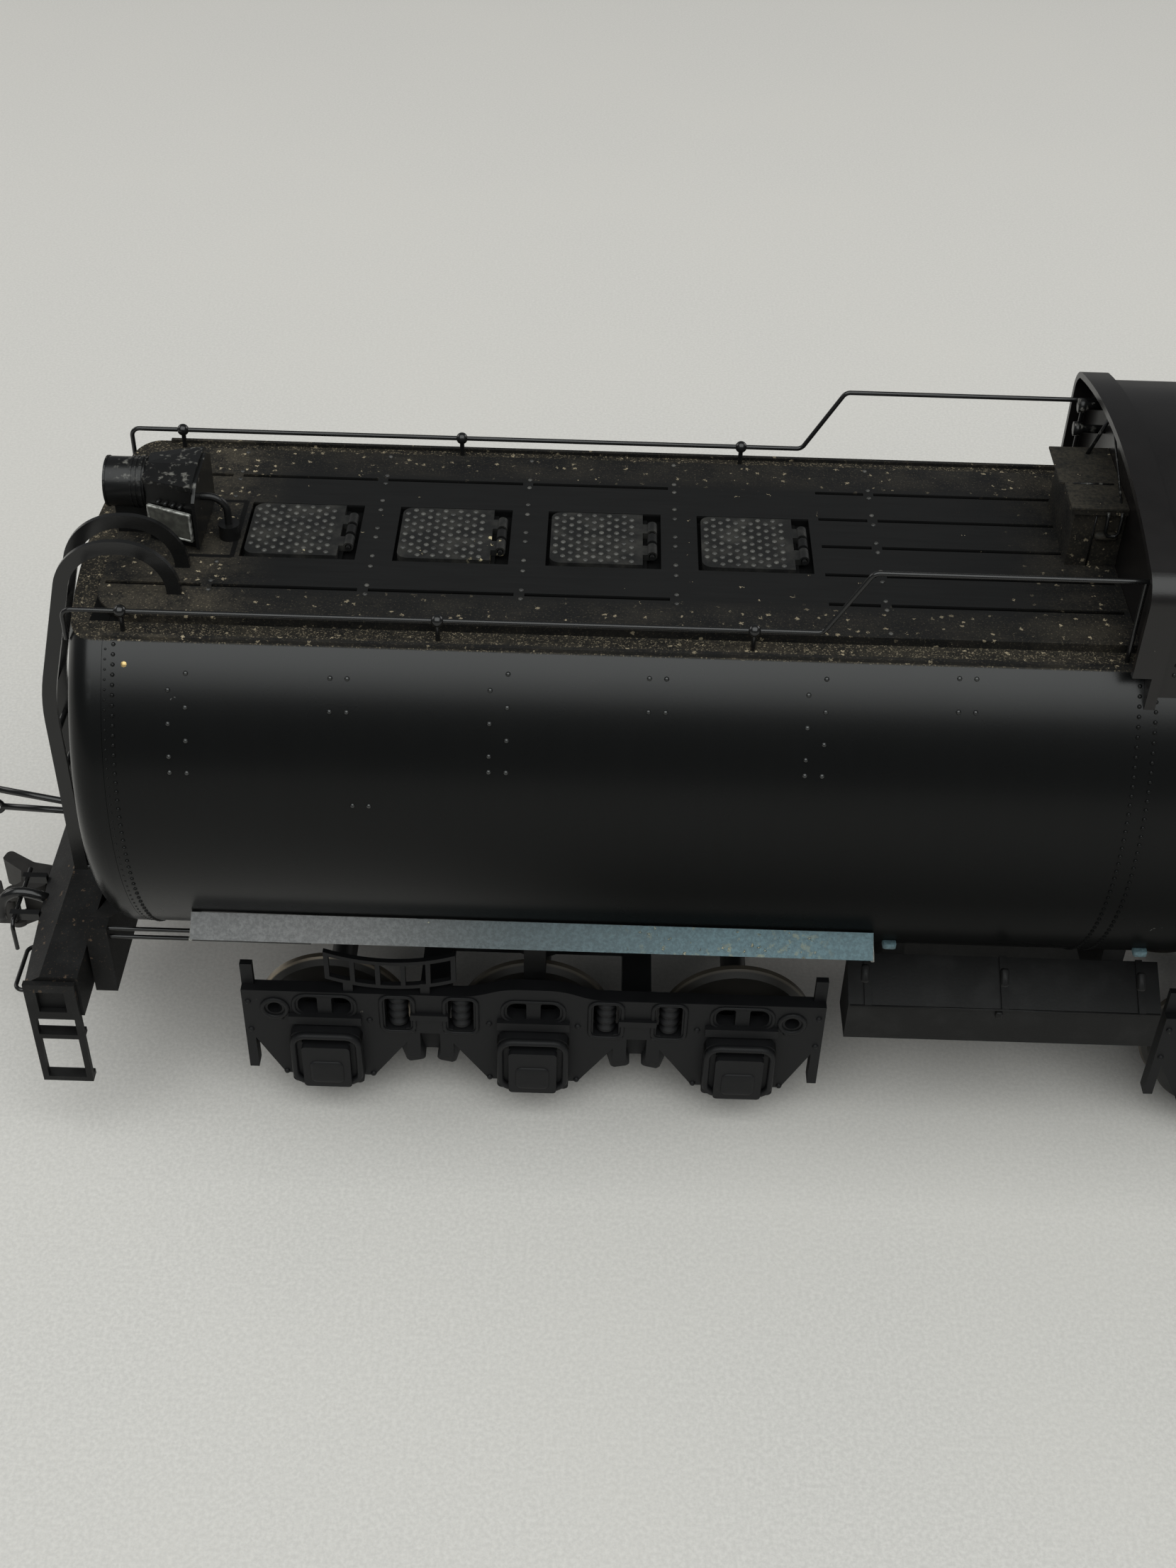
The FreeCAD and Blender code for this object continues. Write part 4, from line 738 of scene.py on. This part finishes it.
class TENDER_OT_tank_rivets(bpy.types.Operator):
    """Rivets of the ring seams, the staggered groups on the flanks and the chipped spot."""
    bl_idname = "tender.tank_rivets"
    bl_label = "Tank rivets"

    def execute(self, context):
        size = context.scene.tender_rivets
        seam = np.arange(SEAM_TOP, SEAM_END, -SEAM_STEP)
        rings = [on_barrel(x, seam) for x in (station(-60.7), station(3.95), BARREL_HIGH[0] - 0.55 * MM)]
        rings.insert(2, on_barrel(station(5.0), seam[3:] + SEAM_STEP / 2))
        self.rows("seam_rivets", rings, size.radius * 0.85, size.rise)
        flange = on_barrel(BARREL_LOW[0] + 0.2 * MM, seam + SEAM_STEP / 2)
        self.rows("flange_rivets", [flange], size.radius * 0.5, size.rise * 0.4)
        rows = [on_barrel(station(-45.6) + mm(0, 1.04), 11.2)]
        row = np.arange(7)
        for x, top, low in FLANK_EIGHTS:
            rows.append(on_barrel(station(x) - (row % 2) * PAIR_GAP * MM, np.linspace(top, low, len(row))))
            rows.append(on_barrel(station(x) - PAIR_GAP * MM, low))
        for x, top in FLANK_FOURS:
            rows.append(on_barrel(station(x) + mm(0, 1.08, 0, 1.08), [top, top, top - 7, top - 7]))
        self.rows("flank_rivets", rows, size.radius, size.rise, "rivet_satin")
        spot = on_barrel(station(-60.0), 40.6, -0.05 * MM)
        piece("bare_spot", [domes(*spot, *mm(0.24, 0.09))], "bare_brass")
        (place,), (out,) = on_barrel(station(5.0), 44.4, 0.02 * MM)
        clips = [plaque(place * [1, sign, 1], (-sign, 0, 0), np.cross(out * [1, sign, 1], (-sign, 0, 0)),
                        1.2, 0.45, 0.12, (0, -0.1), (0, 0.25), (0.08, 0.32)) for sign in (1, -1)]
        piece("seam_clips", clips, "rubbed_rim")
        return {"FINISHED"}

    @staticmethod
    def rows(name, rows, radius, rise, maker=tank_lacquer):
        """Rivet heads on both flanks."""
        near = np.concatenate(rows, 1)
        both = np.concatenate([near, near * [1, -1, 1]], 1)
        piece(name, [domes(*both, radius, rise)], maker)


class TENDER_OT_deck_bolts(bpy.types.Operator):
    """Bolts on the cross joints of the deck."""
    bl_idname = "tender.deck_bolts"
    bl_label = "Deck bolts"

    def execute(self, context):
        across = mm(*BOLT_ROWS)
        x, y = np.meshgrid([station(joint) for joint in DECK_JOINTS], np.concatenate([-across, across]))
        centres = points_at(x.ravel(), y.ravel(), DECK_Z)
        clear = (np.abs(centres[:, 1]) > 3.6 * MM) | (centres[:, 0] > station(-55))
        heads = domes(centres[clear], (0, 0, 1), context.scene.tender_rivets.bolt_radius, 0.1 * MM)
        piece("deck_bolts", [heads], "bolt_rubbed")
        return {"FINISHED"}


class TENDER_OT_lid_treads(bpy.types.Operator):
    """Raised dots of the tread plate on each hatch lid."""
    bl_idname = "tender.lid_treads"
    bl_label = "Lid treads"

    def execute(self, context):
        size = context.scene.tender_treads
        thick, length_x, margin = mm(LID_THICK, LID_LENGTH, LID_MARGIN)
        for number in (1, 2, 3, 4):
            low, high = corners("hatch_lid_%d" % number)
            half = (high[1] - low[1]) / 2 - margin
            rows = int(2 * half / size.row)
            k, row = np.meshgrid(np.arange(int((length_x - margin) / size.pitch) + 1), np.arange(rows + 1))
            x = low[0] + margin + (k + (row % 2) / 2) * size.pitch
            y = (row / rows * 2 - 1) * half
            mid = length_x / 2
            inner = x < low[0] + length_x - margin
            inner &= (np.abs(y) < half - 0.3 * MM) | (np.abs(x - low[0] - mid) < mid - 0.7 * MM)
            dots = domes(points_at(x[inner], y[inner], low[2] + thick), (0, 0, 1), size.radius, size.rise)
            piece("tread_dots_%d" % number, [dots], "tread_rubbed", "hatch_%d" % number)
        return {"FINISHED"}


class TENDER_OT_lamp_fittings(bpy.types.Operator):
    """Lens and rings of the rear lamp; roof, end plate and bare number boards of its housing."""
    bl_idname = "tender.lamp_fittings"
    bl_label = "Lamp fittings"

    def execute(self, context):
        low, high = corners("headlamp")
        x, radius = low[0], (high[1] - low[1]) / 2
        z = high[2] - radius
        turn = np.linspace(0, 2 * np.pi, 32, endpoint=False)

        def rings(profile):
            """Closed band of rings (x, r cos a, z + r sin a) for each (x, r) of a profile."""
            rows = [points_at(x, r * np.cos(turn), z + r * np.sin(turn)) for x, r in profile[::-1]]
            return np.concatenate(rows), ring_faces(len(rows), len(turn), True).tolist()
        lens = ((0.7, 0.8), (0.62, 0.8), (0.5, 0.6), (0.42, 0.3), (0.4, 0.02), (0.7, 0.02))
        piece("lamp_lens", [rings([(x + u * MM, radius * v) for u, v in lens])], "lamp_lens")
        bands = []
        for start, wide, out in LAMP_BANDS:
            section = [(0, -0.1), (0, out), (wide, out), (wide, -0.1)]
            bands.append(rings([(x + (start + u) * MM, radius + v * MM) for u, v in section]))
        piece("lamp_rings", bands, lamp_black, smooth=False)
        x1, top = self.housing()
        shield, shoulder = mm(SHIELD_HALF, SHIELD_SHOULDER)
        end = [(x1, -shield, DECK_Z + 0.3 * MM), (x1, shield, DECK_Z + 0.3 * MM), (x1, shield, shoulder),
               (x1, shield * 0.6, top), (x1, -shield * 0.6, top), (x1, -shield, shoulder)]
        piece("housing_shield", [strip(end, 0.22, 0)], lamp_black, smooth=False)
        self.boards()
        return {"FINISHED"}

    @staticmethod
    def housing():
        """Add the gabled roof; returns its front edge and the top of the housing."""
        low, high = corners("number_housing")
        x0, x1, eave, top = low[0] - 0.05 * MM, high[0] + 0.05 * MM, high[1] + 0.15 * MM, high[2]
        back = eave - 1.0 * MM
        under, over, foot, lip = top + mm(-0.1, 0.3, -0.25, 0.05)
        sides = ((0, 3, 2, 1), (4, 5, 6, 7), (3, 7, 6, 2), (0, 4, 7, 3), (1, 2, 6, 5), (0, 1, 5, 4))
        roof = [([(x0, 0, under), (x1, 0, under), (x1, sign * eave, foot), (x0, sign * back, foot),
                  (x0, 0, over), (x1, 0, over), (x1, sign * eave, lip), (x0, sign * back, lip)],
                 [face[::sign] for face in sides]) for sign in (-1, 1)]
        piece("housing_roof", roof, lamp_black, smooth=False)
        return x1, top

    @staticmethod
    def boards():
        """Bare number boards on both sides of the housing, each with a rim and four lugs."""
        lugs, rims, boards = [], [], []
        for sign in (-1, 1):
            foot, head = (np.array([station(x), sign * y * MM, 0]) for x, y in (BOARD_FOOT, BOARD_HEAD))
            across = (head - foot) * -sign
            width = np.linalg.norm(across)
            across /= width
            shape = ((foot + head) / 2 + mm(0, 0, BOARD_Z), across, (0, 0, 1), width / MM, BOARD_TALL, 0.1)
            rims.append(plaque(*shape, (0, -0.05), (0, 0.12), (0.05, 0.17), (0.13, 0.17), (0.18, 0.1)))
            boards.append(plaque(*shape, (0.17, 0.05), (0.17, 0.12), (0.3, 0.125)))
            places = foot + (head - foot) * np.linspace(0.28, 0.78, 4)[:, None] + mm(0, -sign * 0.12, 48.0)
            lugs.append(domes(places, np.cross(across, (0, 0, 1)), *mm(0.16, 0.3), 6))
        piece("board_rims", rims, "rubbed_rim", smooth=False)
        piece("bare_number_boards", boards, "bare_plate", smooth=False)
        piece("board_lugs", lugs, lamp_black)


class TENDER_OT_bulkhead_fittings(bpy.types.Operator):
    """Lugs, stays and rivets of the bulkhead, and the rivets along the bunker's sides."""
    bl_idname = "tender.bulkhead_fittings"
    bl_label = "Bulkhead fittings"

    def execute(self, context):
        high = corners("bulkhead")[1]
        box_high = corners("deck_box")[1]
        face, box_top = box_high[0], box_high[2]
        size = context.scene.tender_rivets
        stays = [tube([(face - 0.1 * MM, *mm(5.6, 53.2)), (face - 1.6 * MM, 5.3 * MM, box_top)], 0.14),
                 tube([(face - 0.5 * MM, *mm(5.6, 52.9)), (face - 0.4 * MM, -1.0 * MM, box_top)], 0.08)]
        for z in (51.6, 49.8):
            lug = [(face - x * MM, *mm(8.1, z)) for x in (0, 1.5, 1.7, 2.1)]
            stays.append(tube(lug, [0.3, 0.3, 0.5, 0.5]))
        piece("bulkhead_stays", stays, lamp_black)
        y = np.arange(-11.5, 12, BULKHEAD_RIVET_STEP) * MM
        crown = BULKHEAD_CROWN * MM
        drop = crown - np.sqrt(crown ** 2 - y ** 2)
        centres = points_at(face, y, high[2] - 1.05 * MM - drop)
        rivets = domes(centres, (-1, 0, 0), size.radius * 0.8, size.rise)
        piece("bulkhead_rivets", [rivets], bunker_black)
        low, high = corners("oil_bunker")
        z = np.arange(LEDGE_Z / MM + 0.6, high[2] / MM - 2.4, BUNKER_RIVET_STEP) * MM
        x = np.arange(low[0] / MM + 1.2, high[0] / MM - 1, BUNKER_RIVET_STEP) * MM
        sides = []
        for sign in (-1, 1):
            rows = [points_at(x, sign * high[1], LEDGE_Z + 0.5 * MM)]
            rows += [points_at(column, sign * high[1], z)
                     for column in (low[0] + 0.8 * MM, (low[0] + high[0]) / 2, high[0] - 0.8 * MM)]
            sides.append(domes(np.concatenate(rows), (0, sign, 0), size.radius * 0.9, size.rise))
        piece("bunker_rivets", sides, bunker_black)
        return {"FINISHED"}


class TENDER_OT_box_fittings(bpy.types.Operator):
    """Cover and hasp of the deck box, hasps and lid edge of the tool boxes, lugs and ends of the boards."""
    bl_idname = "tender.box_fittings"
    bl_label = "Box fittings"

    def execute(self, context):
        low, high = corners("deck_box")
        step = low[1] + 3.1 * MM
        top = high[2] - 0.02 * MM
        near, left = low[1] - 0.05 * MM, low[0] - 0.05 * MM
        cover = [(left, near, top), (high[0], near, top), (high[0], high[1], top),
                 (low[0] - 0.35 * MM, high[1], top), (low[0] - 0.35 * MM, step, top), (left, step, top)]
        piece("deck_box_cover", [strip(cover, 0.14, 2)], cover_dusty, smooth=False)
        ridge = [(x, step - 0.1 * MM, top + 0.14 * MM) for x in (low[0] + 0.5 * MM, high[0] - 0.5 * MM)]
        corner = np.array([high[0] - 1.35 * MM, low[1], high[2]])
        hasp = corner + mm(*HASP_BEND)
        seam = [(low[0] + 1.75 * MM, low[1] + 0.3 * MM, z) for z in (high[2] - 0.4 * MM, DECK_Z + 0.05 * MM)]
        piece("deck_box_hasp", [tube(hasp, 0.12), tube(seam, 0.07), tube(ridge, 0.08)], lamp_black)
        latch = plaque(corner + mm(0.2, 0.2, -2.0), (1, 0, 0), (0, 0, 1), 1.5, 0.45, 0.2,
                       (0, -0.1), (0, 0.35), (0.12, 0.45))
        piece("deck_box_latch", [latch], cover_dusty)
        low, high = corners("side_boxes")
        edge = low[2] + 3.5 * MM
        hasps, lugs, ends = [], [], []
        for sign in (-1, 1):
            face = sign * (high[1] - 0.02 * MM)
            hasps.append(tube([(low[0] + 0.1 * MM, face, edge), (high[0] - 0.1 * MM, face, edge)], 0.09))
            out, across = np.array([0, sign * 0.72, 0.69]), np.array([-sign * 1.0, 0, 0])
            for x in HASPS:
                place = np.array([station(x), *mm(sign * HASP_Y, HASP_Z)])
                hasps.append(plaque(place - 0.35 * MM * out, across, np.cross(out, across), 0.55, 1.3, 0.2,
                                    (0, 0), (0, 0.4), (0.1, 0.55)))
            hasps.append(plaque((station(-0.4), face - sign * 0.1 * MM, edge - 0.45 * MM), (-sign, 0, 0),
                                (0, 0, 1), 0.5, 0.6, 0.15, (0, 0), (0, 0.25), (0.1, 0.32)))
        piece("tool_box_hasps", hasps, frame_black)
        for x, sign in ((x, sign) for x in LUG_STATIONS for sign in (-1, 1)):
            lugs.append(plaque((station(x), *mm(sign * LUG_Y, LUG_Z)), (1, 0, 0), (0, 1, 0), 0.95, 0.8, 0.2,
                               (0, -0.35), (0, 0), (0.08, 0.06)))
        piece("board_lug_plates", lugs, board_grey)
        low, high = corners("running_boards")
        for sign in (-1, 1):
            for x in (low[0], *(station(end) for end in BOARD_ENDS), high[0]):
                outer = (x, sign * high[1] * 0.994, 22.1 * MM)
                ends.append(tube([(x, *mm(sign * 13.9, 23.4)), outer], 0.13))
        piece("board_ends", ends, "rubbed_rim")
        return {"FINISHED"}


class TENDER_OT_truck_trim(bpy.types.Operator):
    """Raised rims round the openings of the side frames, lid pads, bolts and brake blocks."""
    bl_idname = "tender.truck_trim"
    bl_label = "Truck trim"

    def execute(self, context):
        for end in ("rear", "front"):
            rims, pads, blocks, bolts = [], [], [], []
            for side in (-1, 1):
                self.side_frame(*corners(end + "_truck_boxes"), side, rims, pads, blocks, bolts)
            heads = domes(bolts, np.sign([[0, place[1], 0] for place in bolts]), *mm(0.24, 0.2))
            for name, shapes in (("frame_rims", rims), ("lid_pads", pads), ("brake_blocks", blocks),
                                 ("frame_bolts", [heads])):
                piece("%s_%s" % (end, name), shapes, casting_black, end + "_truck")
        return {"FINISHED"}

    @staticmethod
    def side_frame(low, high, side, rims, pads, blocks, bolts):
        """Add the trim of one side frame, over boxes between a low and a high corner, to the lists."""
        middle = (low[0] + high[0]) / 2
        facing = (-side, 0, 0), (0, 0, 1)

        def at(x, z, y=None, out=0.0):
            """Point on the side frame's face, or at a distance y from the centre plane."""
            y = FRAME_FACE * MM + out * MM if y is None else y
            return np.array([middle + x * MM, side * y, z * MM])
        hood_z, hood_h = (low[2] / MM + HOOD_TOP) / 2, HOOD_TOP - low[2] / MM - 1.1
        for x in (-AXLE_PITCH, 0, AXLE_PITCH):
            rims.append(rim(at(x, 10.95), *facing, 4.3, 1.95, 0.75, breadth=0.28, rise=0.14))
            pads.append(plaque(at(x, 5.1, high[1] - 0.02 * MM), *facing, 2.6, 2.4, 0.5,
                               (0, -0.1), (0.08, 0.1), (0.3, 0.14), (0.8, 0.16)))
            rims.append(rim(at(x, hood_z, high[1] - LID_PROUD * MM), *facing, 4.4, hood_h, 0.7, breadth=0.48,
                            rise=0.42))
            bolts += [at(x + dx, z) for dx in (-3.3, 3.3) for z in (3.6, 9.6)]
        for half in (-1, 1):
            x = half * AXLE_PITCH / 2
            for dx in (-2.35, 2.35):
                rims.append(rim(at(x + dx, 10.35), *facing, 2.15, 3.4, 0.45, breadth=0.3, rise=0.16))
                lean = np.array([-side * 0.97, 0, 0.24 * np.sign(dx) * side])
                blocks.append(plaque(at(x + dx * 0.62, 6.3, out=-0.5), lean, np.cross((0, side, 0), lean),
                                     1.5, 3.0, 0.35, (0, -1.2), (0, 0.1), (0.2, 0.3)))
            bolts += [at(x + dx, z) for dx in (-1.25, 1.25) for z in (9.95, 8.6)]
            hole = at(half * (SIDE_HALF - 2.4), 10.6)
            rims.append(rim(hole, *facing, 1.5, 1.5, 0.749, breadth=0.36, rise=0.2))
            bolts += [at(half * (SIDE_HALF - 0.45), z) for z in (11.2, 8.2)]


class TENDER_OT_rear_trim(bpy.types.Operator):
    """Rods and short hose beside the rear coupler."""
    bl_idname = "tender.rear_trim"
    bl_label = "Rear trim"

    def execute(self, context):
        face = corners("rear_sill")[0][0]
        rods = []
        for y, near, far in ((0.0, (-70.2, 19.75), (-75.6, 20.9)), (0.35, (-70.4, 18.5), (-75.3, 18.75))):
            start, end = (np.array([station(x), *mm(y, z)]) for x, z in (near, far))
            foot = np.array([face + 2.6 * MM, *mm(y, 16.0)])
            rods.append(tube([foot, foot * [1, 1, 0] + [0, 0, start[2] - 0.2 * MM], start, end], 0.26))
            rods.append(eye(end - mm(0.4, 0, 0), *mm(0.55, 0.2)))
        t = np.linspace(0, 1, 14)[:, None]
        first, second, third, last = (np.array([station(x), *mm(-5.6, z)]) for x, z in HOSE)
        hose = ((1 - t) ** 3 * first + 3 * t * (1 - t) ** 2 * second + 3 * t ** 2 * (1 - t) * third
                + t ** 3 * last)
        piece("rear_rods", [*rods, tube(hose, 0.4)], wire_black)
        return {"FINISHED"}


class TENDER_OT_stage(bpy.types.Operator):
    """Floor, lamps, world and camera."""
    bl_idname = "tender.stage"
    bl_label = "Stage"

    def execute(self, context):
        size = context.scene.tender_stage
        x, y = np.meshgrid(*[np.linspace(-size.floor, size.floor, 3)] * 2)
        k = np.array([0, 1, 3, 4])
        mesh = bpy.data.meshes.new("floor")
        faces = np.stack([k, k + 1, k + 4, k + 3], -1).tolist()
        mesh.from_pydata(points_at(x.ravel(), y.ravel(), 0.0).tolist(), [], faces)
        mesh.materials.append(finish(floor_paper))
        floor = bpy.data.objects.new("floor", mesh)
        context.scene.collection.objects.link(floor)
        self.lamp("window", (0.0, -0.3, 0.62), (0.0, -0.02, 0.02), (1.1, 0.8), 7.0, (0.97, 1.0, 0.985))
        self.lamp("left", (-0.75, 0.35, 0.4), (0.0, 0.0, 0.03), (0.5, 0.4), 1.3)
        self.lamp("right", (0.7, 0.5, 0.4), (0.0, 0.0, 0.03), (0.5, 0.4), 1.5)
        world = bpy.data.worlds.new("studio")
        world.use_nodes = True
        background = world.node_tree.nodes["Background"].inputs
        background["Color"].default_value = (0.93, 0.97, 1.0, 1)
        background["Strength"].default_value = 0.13
        context.scene.world = world
        context.scene.view_settings.view_transform = "Standard"
        self.camera(context, size)
        return {"FINISHED"}

    @staticmethod
    def lamp(name, place, target, spread, power, colour=(1.0, 0.985, 0.96)):
        """Square soft light at a place, turned towards a target."""
        data = bpy.data.lights.new(name, "AREA")
        data.shape = "RECTANGLE"
        data.size, data.size_y = spread
        data.energy = power
        data.color = colour
        lamp = bpy.data.objects.new(name, data)
        lamp.location = place
        lamp.rotation_euler = (Vector(target) - Vector(place)).to_track_quat("-Z", "Y").to_euler()
        bpy.context.scene.collection.objects.link(lamp)

    @staticmethod
    def camera(context, size):
        """Camera that looks along the direction of its two angles at the aim, turned by its roll."""
        a, e, roll = size.azimuth, size.elevation, size.roll
        forward = Vector((-math.sin(a) * math.cos(e), math.cos(a) * math.cos(e), -math.sin(e)))
        level = forward.cross(Vector((0, 0, 1))).normalized()
        rise = level.cross(forward)
        right = level * math.cos(roll) + rise * math.sin(roll)
        up = rise * math.cos(roll) - level * math.sin(roll)
        aim = Vector((MIDDLE, 0, 0)) + Vector(size.aim)
        data = bpy.data.cameras.new("view")
        data.sensor_width = 36
        data.lens = size.lens
        data.clip_start = 0.005
        data.clip_end = 20
        camera = bpy.data.objects.new("view", data)
        turn = Matrix((right, up, -forward)).transposed().to_4x4()
        camera.matrix_world = Matrix.Translation(aim - forward * size.distance) @ turn
        context.scene.collection.objects.link(camera)
        context.scene.camera = camera


STEPS = (TENDER_OT_stage, TENDER_OT_paint, TENDER_OT_tank_rivets, TENDER_OT_deck_bolts, TENDER_OT_lid_treads,
         TENDER_OT_lamp_fittings, TENDER_OT_bulkhead_fittings, TENDER_OT_box_fittings, TENDER_OT_truck_trim,
         TENDER_OT_rear_trim)


class TENDER_PT_panel(bpy.types.Panel):
    """Sizes, colours and steps of the dressing."""
    bl_idname = "TENDER_PT_panel"
    bl_label = "Model Tender"
    bl_space_type = "VIEW_3D"
    bl_region_type = "UI"
    bl_category = "Tender"

    def draw(self, context):
        for name, group in GROUPS.items():
            box = self.layout.box()
            for prop in group.__annotations__:
                box.prop(getattr(context.scene, name), prop)
        for step in STEPS:
            self.layout.operator(step.bl_idname)


CLASSES = (*GROUPS.values(), *STEPS, TENDER_PT_panel)


def register():
    """Add the classes and the settings of the scene."""
    for cls in CLASSES:
        bpy.utils.register_class(cls)
    for name, group in GROUPS.items():
        setattr(bpy.types.Scene, name, PointerProperty(type=group))


def unregister():
    """Take them away again."""
    for name in GROUPS:
        delattr(bpy.types.Scene, name)
    for cls in reversed(CLASSES):
        bpy.utils.unregister_class(cls)


def main():
    """Dress the frame."""
    register()
    for step in STEPS:
        group, name = step.bl_idname.split(".")
        getattr(getattr(bpy.ops, group), name)()


if __name__ == "__main__":
    main()
